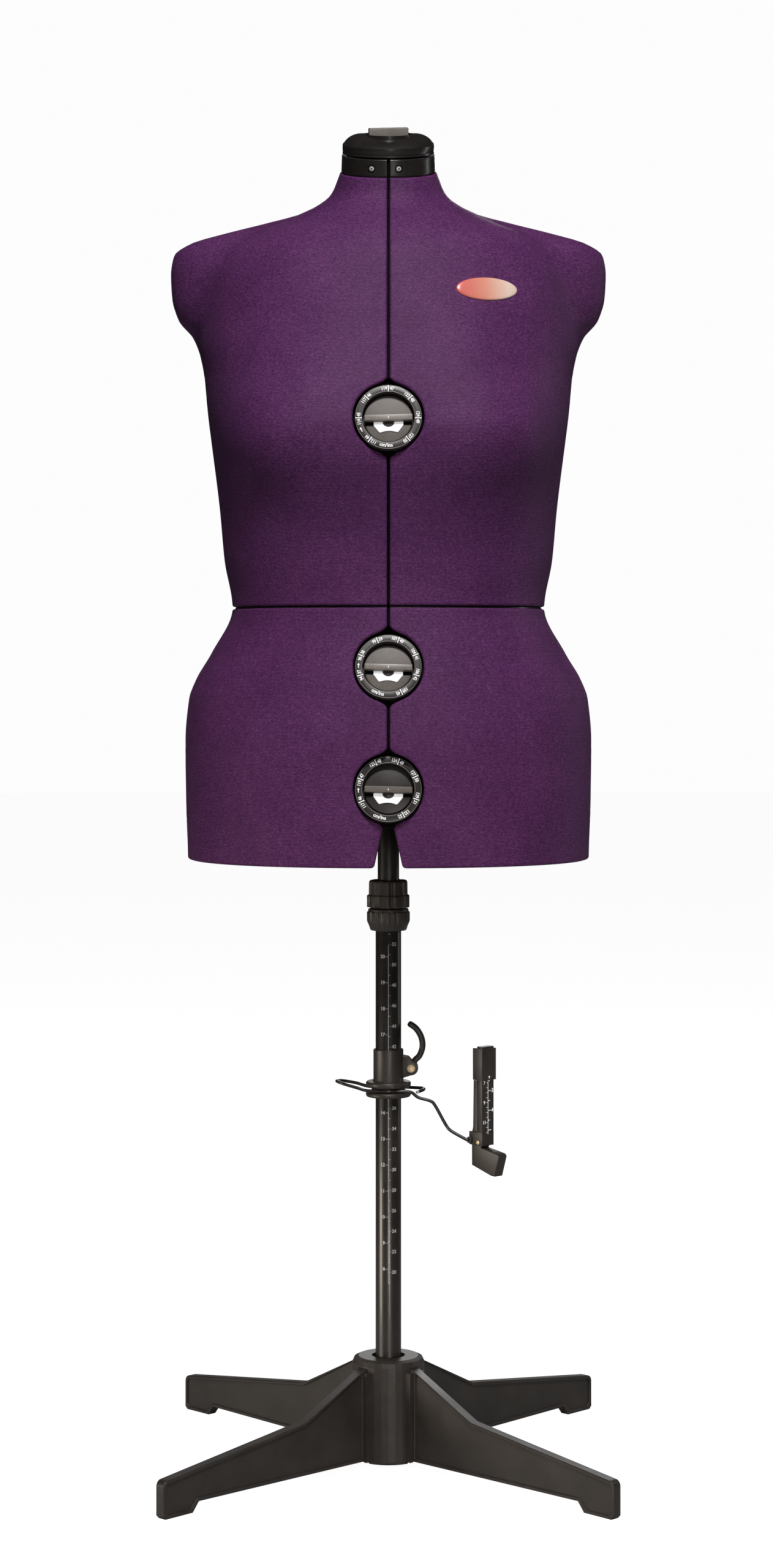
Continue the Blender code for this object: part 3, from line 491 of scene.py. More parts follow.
def outward_of(angle, height):
    step = 0.0005
    round_it = surface(angle + step, height) - surface(angle - step, height)
    up = surface(angle, height + step) - surface(angle, height - step)
    normal = np.cross(round_it, up)
    return normal / np.linalg.norm(normal, axis=-1, keepdims=True)


def torso_point(angle, height, inset=0.0):
    angle, height = np.float64(angle), np.float64(height)
    return Vector(surface(angle, height) - outward_of(angle, height) * inset)


def angle_where(height, coordinate, value, start):
    """The angle near start at which the section's x (0) or y (1) has this value."""
    height = np.asarray(height, float)
    angle = np.full(height.shape, start, float)
    for _ in range(14):
        ratio = np.clip(value / torso_radius(angle, height), -1.0, 1.0)
        angle = np.copysign(np.arccos(ratio), start) if coordinate == 0 else np.arcsin(ratio)
    return angle


def side_seam_y(height):
    return SIDE_SEAM_Y * (1 - eased((height - 1.05) / 0.13))


def slit_half(height, facing):
    """Half the opening between two panels: the slit, run smoothly into the round openings at the dials."""
    slit = np.full(height.shape, SLIT_HALF)
    if facing == "front":
        top = DIAL_LEVELS["hip"] - OPENING_R
        mouth = MOUTH_HALF + MOUTH_GROWS * np.clip((top - height) / (top - HEM_Z), 0, 1)
        slit = np.where(height < top + 0.004, mouth, slit)
        short = HEM_CORNER - np.clip(height - HEM_Z, 0, HEM_CORNER)
        corner = HEM_CORNER - np.sqrt(HEM_CORNER**2 - short**2)
        slit = slit + np.where(height < HEM_Z + HEM_CORNER, corner, 0)
    half = slit
    for name, level in DIAL_LEVELS.items():
        squeeze = math.cos(math.radians(DIAL_TILT["side"][name])) if facing == "side" else 1.0
        away = np.abs(height - level) / squeeze
        stop, end = OPENING_R - 0.0022, OPENING_R + 0.0058
        at = math.sqrt(OPENING_R**2 - stop**2)
        t = np.clip((away - stop) / (end - stop), 0, 1)
        run = (
            (2 * t**3 - 3 * t**2 + 1) * at
            + (t**3 - 2 * t**2 + t) * (end - stop) * (-stop / at)
            + (3 * t**2 - 2 * t**3) * slit
        )
        inside = np.sqrt(np.maximum(OPENING_R**2 - np.minimum(away, stop) ** 2, 0))
        half = np.maximum(half, np.where(away < stop, inside, np.where(away < end, run, slit)))
    return half


def edge_angles(height, quarter):
    front = math.pi / 2 - np.abs(angle_where(height, 0, slit_half(height, "front"), -1.5))
    back = math.pi / 2 - angle_where(height, 0, slit_half(height, "back"), 1.5)
    seam, half = side_seam_y(height), slit_half(height, "side") * math.cos(SIDE_DIAL_TURN)
    ahead, behind = angle_where(height, 1, seam - half, 0.1), angle_where(height, 1, seam + half, 0.1)
    return {
        "front_left": (-math.pi / 2 + front, ahead),
        "back_left": (behind, math.pi / 2 - back),
        "back_right": (math.pi / 2 + back, math.pi - behind),
        "front_right": (math.pi - ahead, 1.5 * math.pi - front),
    }[quarter]


def heights_between(low, high, extra=()):
    """Row heights: fine where a round opening turns into the slit and near both ends, coarser elsewhere."""
    near = (0, 0.0004, 0.0010, 0.0018, 0.0028)
    found, at = [low + step for step in near], low + 0.0040
    while at < high - 0.0045:
        found.append(at)
        away = min(abs(abs(at - level) - OPENING_R) for level in DIAL_LEVELS.values())
        inside = min(abs(at - level) for level in DIAL_LEVELS.values()) < OPENING_R
        at += 0.0008 if away < 0.008 else 0.0018 if inside else 0.0035
    found += [high - step for step in (0.0040, *near[::-1])]
    return np.array(sorted([*found, *extra]))


def distance_to(points, line):
    """Least distance from each point to a run of joined straight pieces."""
    a, along = line[:-1], line[1:] - line[:-1]
    size = np.maximum((along**2).sum(-1), 1e-14)
    least = np.full(len(points), 1.0)
    for first in range(0, len(a), 64):
        base, way, long = a[first : first + 64], along[first : first + 64], size[first : first + 64]
        gap = points[:, None] - base[None]
        t = np.clip((gap * way).sum(-1) / long, 0, 1)
        least = np.minimum(least, np.linalg.norm(gap - t[..., None] * way, axis=-1).min(1))
    return least


def panel(name, quarter, heights, outer, inner, look, middle, roll):
    """A quarter panel between two insets, its edges rolled inwards. Returns the object and its flat sizes."""
    first, last = (edge[:, None] for edge in edge_angles(heights, quarter))
    level = heights[:, None]
    coarse = surface(first + (last - first) * np.linspace(0, 1, 25), level + np.zeros(25))
    length = np.linalg.norm(np.diff(coarse, axis=1), axis=-1).sum(1)[:, None]
    near = np.array([0, 0.0003, 0.0008, 0.0014, 0.0022, 0.0034, 0.0060]) / length
    inner_columns = 0.0100 / length + (1 - 0.0200 / length) * np.linspace(0, 1, middle)
    across = np.concatenate([near, inner_columns, 1 - near[:, ::-1]], 1)
    angle = first + (last - first) * across
    level = level + np.zeros_like(angle)
    base, normal = surface(angle, level), outward_of(angle, level)
    rows, columns = angle.shape
    flat = base.reshape(-1, 3)
    edges = (base[:, 0], base[:, -1], base[0], base[-1])
    away = np.minimum.reduce([distance_to(flat, line) for line in edges]).reshape(rows, columns)
    short = np.clip(roll - away, 0, roll)
    rolled = roll - np.sqrt(np.maximum(roll**2 - short**2, 0))
    over = base - normal * (outer[:, None] + rolled)[..., None]
    below = base - normal * np.maximum(inner[:, None], outer[:, None] + rolled + 0.0002)[..., None]
    mesh = skinned(name, over, below)
    mesh.materials.append(look)
    mesh.shade_smooth()
    mesh.set_sharp_from_angle(angle=math.radians(60))
    made = bpy.data.objects.new(name, mesh)
    scene.collection.objects.link(made)
    tall = np.linalg.norm(np.diff(base[:, columns // 2], axis=0), axis=-1).sum()
    one = np.cross(base[1:, 1:] - base[:-1, :-1], base[1:, :-1] - base[:-1, 1:])
    return made, float(length.max()), float(tall), float(np.linalg.norm(one, axis=-1).sum() / 2)


QUARTERS = ("front_left", "front_right", "back_left", "back_right")


def torso_panels():
    """Each quarter's jersey cover and the shell that shows bare above it, round the collar."""
    halves = (("hip", HEM_Z, WAIST_Z - 0.001), ("chest", WAIST_Z + 0.001, FABRIC_TOP - 0.0009))
    for quarter in QUARTERS:
        for half, low, high in halves:
            heights = heights_between(low, high)
            flat = np.zeros(len(heights))
            name = f"{half}_{quarter}"
            cover, wide, tall, area = panel(
                f"{name}_jersey", quarter, heights, flat, flat + THICK, JERSEY, 26, ROLL_R
            )
            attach(cover, name)
            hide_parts(f"{name}_cover")
            extra, high = (), WAIST_Z + 0.0006
            if half == "chest":
                high = COLLAR_TOP
                extra = (FABRIC_TOP - 0.0009, FABRIC_TOP + 0.0006, FABRIC_TOP + 0.0012)
            heights = heights_between(low, high, extra)
            outer = np.where(heights > FABRIC_TOP, COLLAR_INSET, UNDER)
            inner = np.full(len(heights), UNDER + SHELL_THICK)
            shell, *_ = panel(f"{name}_moulding", quarter, heights, outer, inner, GLOSSY, 14, 0.0007)
            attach(shell, name)
            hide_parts(f"{name}_shell")


def lip_angles(seam, heights):
    """Angles across a seam's flange, with a row for each height."""
    offsets = np.array([-LIP_HALF, -0.004, -0.0015, 0.0015, 0.004, LIP_HALF])[None]
    if seam in ("front", "back"):
        middle = np.float64(-math.pi / 2 if seam == "front" else math.pi / 2)
        return middle + offsets / torso_radius(middle, heights[:, 0])[:, None]
    middle = angle_where(heights[:, 0], 1, side_seam_y(heights[:, 0]), 0.1)[:, None]
    angle = middle + offsets / torso_radius(middle, heights)
    return angle if seam == "left" else math.pi - angle


def seam_lips():
    """Flanges behind the seams: each rides on one panel and reaches behind its neighbour."""
    seams = {"front": "front_left", "back": "back_left", "left": "front_left", "right": "front_right"}
    halves = (("hip", HEM_Z + 0.003, WAIST_Z - 0.002), ("chest", WAIST_Z + 0.003, COLLAR_TOP - 0.003))
    for half, low, high in halves:
        stops = [low]
        for level in sorted(DIAL_LEVELS.values()):
            if low < level < high:
                stops += [level - DIAL_CLEAR, level + DIAL_CLEAR]
        stops.append(high)
        for seam, quarter in seams.items():
            for number, (a, b) in enumerate(zip(stops[::2], stops[1::2])):
                below_hip_dial = half == "hip" and number == 0
                if seam == "front" and below_hip_dial:
                    continue  # the seam is open there, and the tube shows through it
                heights = np.linspace(a, b, max(4, int((b - a) / 0.004)))[:, None]
                angle = lip_angles(seam, heights)
                level = heights + np.zeros_like(angle)
                base, normal = surface(angle, level), outward_of(angle, level)
                mesh = skinned("lip", base - normal * LIP_NEAR, base - normal * LIP_FAR)
                # The lips are in painted shade black, so the slits between the panels read as shade.
                lip = Piece().take_mesh(mesh, PAINTED_SHADE)
                lip.make(f"{half}_{seam}_lip_{number}", f"{half}_{quarter}", slot="shell_plastic")


def badge():
    """A blank domed oval on the left of the chest."""
    middle_x, level, long, short, steps = 0.0925, 1.1330, 0.0290, 0.0110, 56
    stops = [
        (0, -0.0017), (0.3, -0.00165), (0.6, -0.0015), (0.85, -0.0013), (0.95, -0.0011), (0.99, -0.0007),
        (1.0, -0.0001), (1.0, 0.0012),
    ]
    bm, rings = bmesh.new(), []
    for share, inset in stops:
        ring = []
        for i in range(steps if share else 1):
            a = 2 * math.pi * i / steps
            x, z = middle_x + long * share * math.cos(a), level + short * share * math.sin(a)
            angle = float(angle_where(z, 0, x, -1.0))
            ring.append(bm.verts.new(torso_point(angle, z, inset)))
        rings.append(ring)
    for low, high in zip(rings, rings[1:]):
        bridge(bm, low, high)
    bm.faces.new(rings[-1][::-1])
    Piece().take(bm, BADGE).make("oval_badge", "chest_front_left", sharp=50)


# ---- Size dials ------------------------------------------------------------------------------

CUP_R, KNOB_FLOOR, CUP_BACK, FACE = 0.0240, -0.0110, -0.0165, -0.0062
RING_R, FLANGE_EDGE, DISC_R, DIAL_PRINT = 0.0312, 0.0352, 0.0226, 0.00012
STEM_LENGTH, STEM_R, STEM_BORE_R = 0.046, 0.0072, 0.0047
# for each level, each mark's size in centimetres and inches, and its degrees clockwise of the top
SIZES = {
    "bust": (
        (112, 44, 218), (114, 45, 268), (117, 46, 313), (119, 47, 0), (122, 48, 47), (124, 49, 92),
        (127, 50, 139),
    ),
    "waist": (
        (94, 37, 252), (96, 38, 293), (99, 39, 338), (101, 40, 20), (104, 41, 66), (106, 42, 108),
        (109, 43, 154),
    ),
    "hip": (
        (117, 46, 245), (119, 47, 290), (122, 48, 335), (124, 49, 20), (127, 50, 65), (129, 51, 110),
        (132, 52, 150),
    ),
}
UNITS_AT = {"bust": 183, "waist": 200, "hip": 196}
ARROW_AT = {"bust": 244, "waist": 272, "hip": 268}
DIAL_TURN = {
    "front": -math.pi / 2, "back": math.pi / 2, "left": SIDE_DIAL_TURN, "right": math.pi - SIDE_DIAL_TURN,
}
STEM_WAY = {"front": (0, -1, 0), "back": (0, 1, 0), "left": (1, 0, 0), "right": (-1, 0, 0)}


def dial_place(side, name):
    """Where a dial's face centre is, with local Z pointing out of the torso and local Y up."""
    level = DIAL_LEVELS[name]
    facing = side if side in ("front", "back") else "side"
    angle = turn = DIAL_TURN[side]
    if facing == "side":
        angle = float(angle_where(level, 1, side_seam_y(level), 0.1))
        angle = angle if side == "left" else math.pi - angle
    outward = Vector((math.cos(turn), math.sin(turn), 0))
    up = Vector((0, 0, 1))
    centre = torso_point(angle, level) - outward * DIAL_FACE_SINK[facing]
    axes = Matrix((up.cross(outward), up, outward)).transposed().to_4x4()
    return shift(*centre) @ axes @ spin(-DIAL_TILT[facing][name], "X")


def on_ring(clock, radius, lift=0.0001):
    """A place on the number ring, clock degrees clockwise of its top, with local Y pointing outwards."""
    return spin(-clock) @ shift(0, radius, lift)


def printed_ring(name):
    """Sizes in centimetres and inches either side of radial ticks, an arrow, and the units."""
    made = Piece()
    narrow = Matrix.Diagonal((0.82, 1, 1, 1))
    for cm, inches, clock in SIZES[name]:
        tick = on_ring(clock, 0.0276, DIAL_PRINT)
        made.mark((-0.00045, -0.0030), (0.00045, 0.0030), DIAL_PRINT, PRINT_PAINTED_GLOW, tick)
        made.words(str(cm), 0.0046, PRINT_PAINTED_GLOW, on_ring(clock - (8.4 if cm > 99 else 6.8), 0.0275) @ narrow)
        made.words(str(inches), 0.0046, PRINT_PAINTED_GLOW, on_ring(clock + 6.8, 0.0275) @ narrow)
    for letter, on in zip("cm/ins", (0, 6.0, 10.8, 13.8, 17.2, 21.6)):
        made.words(letter, 0.0047, PRINT_PAINTED_GLOW, on_ring(UNITS_AT[name] + 12 - on, 0.0274) @ spin(180))
    point = [(0.0004, -0.0013), (0.0024, 0), (0.0004, 0.0013)]
    arrow = [(-0.0023, -0.0004), (0.0004, -0.0004), *point, (0.0004, 0.0004), (-0.0023, 0.0004)]
    made.plate(arrow, DIAL_PRINT, PRINT_PAINTED_GLOW, on_ring(ARROW_AT[name], 0.0279, DIAL_PRINT), 0)
    return made


def dial_housing(name, side, level):
    """Number ring and cup, with highlight lines painted round the ring, a flange in painted shade behind the
    panels' edges, a cross arm and the stem.
    """
    place = dial_place(side, level)
    made = printed_ring(level)
    bmesh.ops.transform(made.bm, matrix=place, verts=made.bm.verts)
    cup = [
        (0, KNOB_FLOOR), (CUP_R, KNOB_FLOOR), (CUP_R, -0.0011), (CUP_R + 0.00015, -0.0005),
        (CUP_R + 0.0005, -0.0001), (CUP_R + 0.0009, 0), (RING_R - 0.0011, 0), (RING_R - 0.0006, -0.0002),
        (RING_R - 0.0002, -0.0006), (RING_R, -0.0012), (RING_R, -0.0068), (RING_R - 0.0006, -0.0070),
        (0.0270, -0.0072), (0.0262, -0.0080), (0.0262, CUP_BACK), (0, CUP_BACK),
    ]
    # The hip dial's ring takes the darker copy: painted shade.
    made.turned(cup, PAINTED_SHADE_RING if level == "hip" else RING, place, 96)
    # Two thin raised rings in the lighter plastic near the ring's inner and outer edges: painted highlight
    # lines.
    for r in (CUP_R + 0.00075, RING_R - 0.0008):
        rim = [
            (r - 0.0001, -0.0003), (r - 0.0001, 0.00002), (r + 0.0001, 0.00007), (r + 0.0003, 0),
            (r + 0.0003, -0.0003),
        ]
        made.turned(rim, PAINTED_LIT_PLASTIC, place, 96)
    # The flange is painted shade black: it shows in the shade of the opening.
    flange = [
        (0.0264, -0.0082), (FLANGE_EDGE - 0.0004, -0.0082), (FLANGE_EDGE, -0.0085), (FLANGE_EDGE, -0.0098),
        (FLANGE_EDGE - 0.0004, -0.0102), (0.0264, -0.0102),
    ]
    made.turned(flange, PAINTED_SHADE, place, 96)
    # On the hip dials, dark blocks at the flange's top and bottom: painted shade in the opening.
    for clock in (0, 180) if level == "hip" else ():
        low, high = (-0.0055, 0.0300, -0.0088), (0.0055, FLANGE_EDGE, -0.0062)
        made.block(low, high, PAINTED_SHADE, place @ spin(clock), 0.0008)
    arm_low, arm_high = (-0.046, -0.0035, CUP_BACK - 0.0027), (0.046, 0.0035, CUP_BACK + 0.0003)
    made.block(arm_low, arm_high, INSIDE, place, 0.0008)
    back = place @ Vector((0, 0, CUP_BACK + 0.0008))
    end = Vector((0, back.y, back.z)) if side in ("front", "back") else back
    along = shift(*end) @ Vector(STEM_WAY[side]).to_track_quat("Z", "Y").to_matrix().to_4x4()
    stem = [
        (0, 0), (STEM_R, 0), (STEM_R, 0.0008 - STEM_LENGTH), (STEM_R - 0.0008, -STEM_LENGTH),
        (STEM_BORE_R, -STEM_LENGTH), (STEM_BORE_R, -0.0065), (0, -0.0065),
    ]
    made.turned(stem, INSIDE, along, 32)
    half = "chest" if level == "bust" else "hip"
    made.make(name, f"{half}_{side}_carrier", [f"{level}_{side}_dial"], "dial_plastic")


def dial_knob(name, side, level):
    """Disc with a finger bar, painted shade under the bar's ends, and the white pointer insert."""
    place = dial_place(side, level)
    turn = place @ spin(1.6 if level == "bust" else -1.5)
    made, disc_look, bar_look = Piece(), DISC, PAINTED_LIT_PLASTIC
    # The hip knob takes the next darker look for its disc and bar: painted shade.
    if level == "hip":
        disc_look, bar_look = RING, DISC
    disc = [
        (0, FACE), (DISC_R - 0.0012, FACE), (DISC_R - 0.0005, FACE - 0.0002),
        (DISC_R - 0.0001, FACE - 0.0006), (DISC_R, FACE - 0.0012), (DISC_R, KNOB_FLOOR + 0.0003),
        (0, KNOB_FLOOR + 0.0003),
    ]
    made.turned(disc, disc_look, place, 80)
    low, high = (-0.0224, -0.0016, -0.0075), (0.0224, 0.0044, -0.0006)
    made.block(low, high, bar_look, turn @ shift(0, -0.0014), 0.0007)
    # Thin dark patches on the disc under the bar's ends: painted shade, not slots.
    for left, right in ((-0.0217, -0.0140), (0.0140, 0.0217)):
        low, high = (left, -0.0062, FACE - 0.0002), (right, -0.0029, FACE + 0.00006)
        made.block(low, high, PAINTED_SHADE, turn, 0.00003, 1)
    boss = arc(0, 0, 0.0046, 0.0046, 180, 361, 15)
    made.plate(boss, 0.0016, RING, turn @ shift(0, -0.0030, FACE + 0.0008), 0.0004)
    pointer = [(-0.0007, -0.0007), (0.0007, -0.0007), (0, 0.0011)]
    made.plate(pointer, DIAL_PRINT, PRINT_PAINTED_GLOW, turn @ shift(0, -0.0001, -0.00052), 0)
    side_points = [(0.0137, -0.0034), (0.0137, -0.0066), (0.0092, -0.0126), (0.0079, -0.0134)]
    insert = [(-x, y) for x, y in side_points]
    insert += [(x * 0.0079, -0.0118 - 0.0016 * x * x) for x in (-0.75, -0.4, 0, 0.4, 0.75)]
    insert += [*side_points[::-1], (0.0056, -0.0034)]
    insert += [*arc(0, -0.0034, 0.0056, 0.0048, -20, -161, -20), (-0.0056, -0.0034)]
    made.plate(insert, 0.0014, WHITE_PAINTED_GLOW, turn @ shift(0, 0, FACE + 0.0006), 0.00035)
    made.make(name, f"{level}_{side}_knob", [f"{level}_{side}_knob"], "dial_plastic")


def size_dials():
    for level in DIAL_LEVELS:
        for side in ("front", "back", "left", "right"):
            dial_housing(f"{level}_{side}_size_dial", side, level)
            dial_knob(f"{level}_{side}_turning_disc", side, level)


# ---- Neck ------------------------------------------------------------------------------------

CAP_R, CAP_H, CAP_RECESS, NECK_KNOB_R = 0.0448, 0.0225, 0.0070, 0.0215
PRESSED, SLOPE_FRONT, SLOPE_BACK, SCREW_Z = 0.0028, 0.20, 0.08, 1.2688


def tipped(piece, place, level_r):
    """Put a neck piece in place, its top pressed down and, outside level_r, sloping to the front and back."""
    for v in piece.bm.verts:
        slope = SLOPE_FRONT if v.co.y < 0 else SLOPE_BACK
        if math.hypot(v.co.x, v.co.y) <= level_r:
            slope = 0.0
        v.co.z -= float(eased((v.co.z - 0.0085) / 0.0060)) * (slope * abs(v.co.y) + PRESSED)
    bmesh.ops.transform(piece.bm, matrix=place, verts=piece.bm.verts)
    return piece


def neck():
    seat = torso_point(0, COLLAR_TOP)
    place = shift(0, seat.y, seat.z + 0.0009) @ spin(15, "X")
    recess, floor_z = NECK_KNOB_R + 0.001, CAP_H - CAP_RECESS
    profile = [(0, floor_z), (recess, floor_z), (recess, CAP_H - 0.0006), (recess + 0.0006, CAP_H)]
    profile += arc(CAP_R - 0.0190, CAP_H - 0.0150, 0.0190, 0.0150, 84, -1, -6)
    profile += [
        (CAP_R, 0.0030), (CAP_R - 0.0003, 0.0026), (CAP_R - 0.0003, 0.0020), (CAP_R, 0.0016), (CAP_R, 0.0004),
        (CAP_R - 0.0004, 0.0), (CAP_R - 0.0030, 0.0), (CAP_R - 0.0030, 0.0050), (0.0095, 0.0105),
        (0.0095, -0.010), (0, -0.010),
    ]
    dome = tipped(Piece().turned(profile, GLOSSY, None, 96), place, recess + 0.0003)
    dome.make("neck_dome", "chest_front_carrier", ["neck_cap"], "shell_plastic")
    base, r = floor_z + 0.0003, NECK_KNOB_R
    top = base + 0.0016
    profile = [(0, top), (r - 0.0010, top), (r - 0.0004, base + 0.0012), (r, base), (0, base)]
    knob = Piece().turned(profile, GLOSSY, None, 72)
    # The grip bar is in the lighter copy of the dial plastic: painted light.
    knob.block((-0.0196, -0.0031, base + 0.001), (0.0196, 0.0031, CAP_H + 0.0052), PAINTED_LIT_PLASTIC, spin(12), 0.0009)
    tipped(knob, place, 1.0).make("neck_turning_knob", "neck_knob", ["neck_knob"], "dial_plastic")


def collar_screws():
    rim = [(0.0037, -0.0010), (0.0037, 0.0001), (0.0035, 0.0003), (0.0031, 0.0002), (0.0029, -0.0010)]
    head = [(0, 0.0003), (0.0016, 0.0002), (0.0026, -0.0002), (0.0028, -0.0010), (0, -0.0010)]
    for side, x in (("right", -0.0165), ("left", 0.0103)):
        angle = float(angle_where(SCREW_Z, 0, x, -1.5))
        out = Vector(outward_of(np.float64(angle), np.float64(SCREW_Z)))
        facing = out.to_track_quat("Z", "Y").to_matrix().to_4x4()
        spot = shift(*torso_point(angle, SCREW_Z, COLLAR_INSET)) @ facing
        # The ring round each head and the cross on it are painted shade black, standing for the shade in the
        # hole and in the slots.
        screw = Piece().turned(rim, PAINTED_SHADE, spot, 28).turned(head, STEEL_PAINTED_REFLECTION, spot, 28)
        for turned_by in (25, 115):
            low, high = (-0.0014, -0.00025, 0.0001), (0.0014, 0.00025, 0.00038)
            screw.block(low, high, PAINTED_SHADE, spot @ spin(turned_by), 0.00005, 1)
        screw.make(f"collar_screw_{side}", f"chest_front_{side}")


# ---- Stand -----------------------------------------------------------------------------------

TUBE_R, MAST_R, HUB_R, LEG_THICK = 0.0125, 0.0105, 0.0353, 0.0110
LEG_REACH, LEG_ROOT_R, LEG_TOP, TOE_TOP = 0.2952, 0.0225, 0.0950, 0.0355
LEG_RIM, LEG_POCKET = 0.0033, 0.0017
MARK_50_Z, SCALE_LOW, SCALE_TOP, INCH = 0.4859, 0.175, 0.505, 0.0254


def leg_outline(shrink=0.0):
    """(radius from the tube, height) round a leg's side and its root tongue. shrink moves it inwards."""
    s, top = shrink, LEG_TOP - shrink * 1.2
    root, shoulder = (HUB_R + 0.006, HUB_R + 0.008) if s else (LEG_ROOT_R, HUB_R + 0.002)
    tip, corner = LEG_REACH - s, 0.006 - s / 2
    points = [(root, 0.0060 + s), (root, top), (shoulder, top), (0.1153, 0.0575 - s)]
    points += arc(tip - corner, TOE_TOP - s - corner, corner, corner, 90, -1, -15)
    return points + [(tip, 0.0030 + s), (tip - 0.003, s), (0.2590 + s, s), (0.2515 + s / 2, 0.0092 + s)]


def moved_in(points, inward):
    """An outline with each point moved towards the outline's inside."""
    found, count = [], len(points)
    for i, (x, y) in enumerate(points):
        (ax, ay), (bx, by) = points[i - 1], points[(i + 1) % count]
        ux, uy, vx, vy = x - ax, y - ay, bx - x, by - y
        a, b = math.hypot(ux, uy), math.hypot(vx, vy)
        nx, ny = uy / a + vy / b, -ux / a - vx / b
        size = math.hypot(nx, ny)
        found.append((x + nx / size * inward, y + ny / size * inward))
    return found


def leg(name, turn):
    """A web with a raised, rounded rim on both faces."""
    outer, inner, half = leg_outline(), leg_outline(LEG_RIM), LEG_THICK / 2
    layers = (
        (outer, half - 0.0008, 0.0), (outer, half, 0.0008), (inner, half, -0.0005),
        (inner, half - 0.0004, 0.0), (inner, half - LEG_POCKET, 0.0003),
    )
    bm, edges = bmesh.new(), []
    for way in (1, -1):
        rings = [[bm.verts.new((x, y, way * z)) for x, y in moved_in(line, by)] for line, z, by in layers]
        for low, high in zip(rings, rings[1:]):
            bridge(bm, low, high)
        bm.faces.new(rings[-1])
        edges.append(rings[0])
    bridge(bm, *edges)
    place = spin(turn) @ spin(90, "X")
    Piece().take(bm, STAND, place).make(f"{name}_moulded", "stand", [name], "stand_plastic", sharp=30)


def pipe(radius, wall, low, high):
    """The profile of an open tube whose top edge is eased."""
    inner = radius - wall
    return [(inner, high), (radius - 0.0003, high), (radius, high - 0.0004), (radius, low), (inner, low)]


def outer_tube():
    """The tube with its centimetre and inch scales, printed flat and then wrapped round its front."""
    made = Piece().turned(pipe(TUBE_R, 0.0013, 0.008, 0.5385), PAINT)
    upright, first, ink, half = spin(90, "X"), len(made.bm.verts), 0.00002, 0.0002
    made.mark((-half, SCALE_LOW), (half, SCALE_TOP), ink, FAINT, upright)
    for cm in range(19, 54):
        z = MARK_50_Z + (cm - 50) * 0.01
        long = 0.0030 if cm % 2 == 0 else 0.0018
        made.mark((0.0, z - half), (long, z + half), ink, FAINT, upright)
        if cm % 2 == 0:
            made.words(str(cm), 0.0047, FAINT, upright @ shift(0.0034, z, 0.00001), "LEFT")
    for inches in range(8, 22):
        z = MARK_50_Z + inches * INCH - 0.5
        if z < SCALE_TOP:
            made.mark((-0.0028, z - half), (0.0, z + half), ink, FAINT, upright)
            made.words(str(inches), 0.0047, FAINT, upright @ shift(-0.0034, z, 0.00001), "RIGHT")
    made.bm.verts.ensure_lookup_table()
    for v in made.bm.verts[first:]:
        a, r = v.co.x / TUBE_R - math.pi / 2, TUBE_R + 0.00006 - v.co.y
        v.co.x, v.co.y = r * math.cos(a), r * math.sin(a)
    made.make("scaled_outer_tube", "stand", ["outer_tube"], "painted_steel")


def ribbed(angle, r, z):
    """The clamp collar's ribs, on its wide lower part only."""
    return r + (0.0005 * math.cos(24 * angle) if r > 0.0200 and z < 0.5372 else 0.0)


def fluted(angle, r, z):
    """The clamp nut's nine flutes, with its bore left round."""
    return r - 0.0027 * max(0.0, math.cos(9 * angle)) ** 1.2 if r > 0.0150 else r


def clamp():
    low, high = 0.519, 0.5400
    outer = [
        (0.0172, low), (0.0178, low + 0.0006), (0.0190, low + 0.0045), (0.0201, low + 0.0080),
        (0.0205, low + 0.0095), (0.0205, high - 0.0032), (0.0203, high - 0.0028), (0.0198, high - 0.0024),
        (0.0198, high - 0.0012), (0.0194, high), (TUBE_R + 0.0003, high), (TUBE_R + 0.0003, low),
    ]
    collar = Piece().turned(outer, STAND, None, 160, ribbed)
    collar.make("ribbed_clamp_collar", "stand", ["clamp_body"], "stand_plastic")
    low, high = 0.5415, 0.568
    outer = [
        (0.0205, low), (0.0210, low + 0.0006), (0.0210, low + 0.0108), (0.0207, low + 0.0116),
        (0.0194, low + 0.0120), (0.0192, low + 0.0126), (0.0190, high - 0.0030), (0.0187, high - 0.0012),
        (0.0178, high - 0.0003), (0.0165, high), (MAST_R + 0.0003, high), (MAST_R + 0.0003, low),
    ]
    nut = Piece().turned(outer, STAND, None, 160, fluted)
    nut.make("fluted_clamp_nut", "clamp_nut", ["clamp_nut"], "stand_plastic")


def stand():
    for side, turn in (("front_left", -45), ("back_left", 45), ("back_right", 135), ("front_right", 225)):
        leg(f"leg_{side}", turn)
    for node, look in (("base_hub", STAND), ("torso_frame", INSIDE)):
        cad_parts[node].data.materials.clear()
        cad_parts[node].data.materials.append(look)
    outer_tube()
    mast = Piece().turned(pipe(MAST_R, 0.0012, 0.160, 1.195), PAINT, None, 64)
    mast.make("inner_tube", "mast", ["mast"], "painted_steel")
    clamp()


# ---- Hem marker ------------------------------------------------------------------------------

SLEEVE_R, SLEEVE_BORE_R, SLEEVE_TOP, FLANGE_R, GROOVE_R = 0.0147, 0.0129, 0.4027, 0.0221, 0.0165
FLANGE_Z = (0.3562, 0.3610, 0.3656, 0.3712)
PIVOT = Vector((0.0222, 0.0, 0.3842))
WIRE_R, EAR_GAP, EAR_THICK = 0.0016, 0.0035, 0.0028
CLIP_AT, CLIP_TURN = Vector((0.0928, -0.030, 0.3162)), math.radians(42)
CLIP_WIDTH, CLIP_CHEEK, CLIP_INK = 0.0158, 0.0020, 0.00004
CLIP_BACK, CLIP_FRONT, CLIP_TOP = -0.0020, 0.0056, 0.0930
JAW_WIDTH = CLIP_WIDTH - 2 * CLIP_CHEEK - 0.0006
SLIDER_Z = (0.0605, 0.0912)
WIRE_END = Vector((CLIP_WIDTH / 2 + 0.0042, -0.0105, 0.0016))


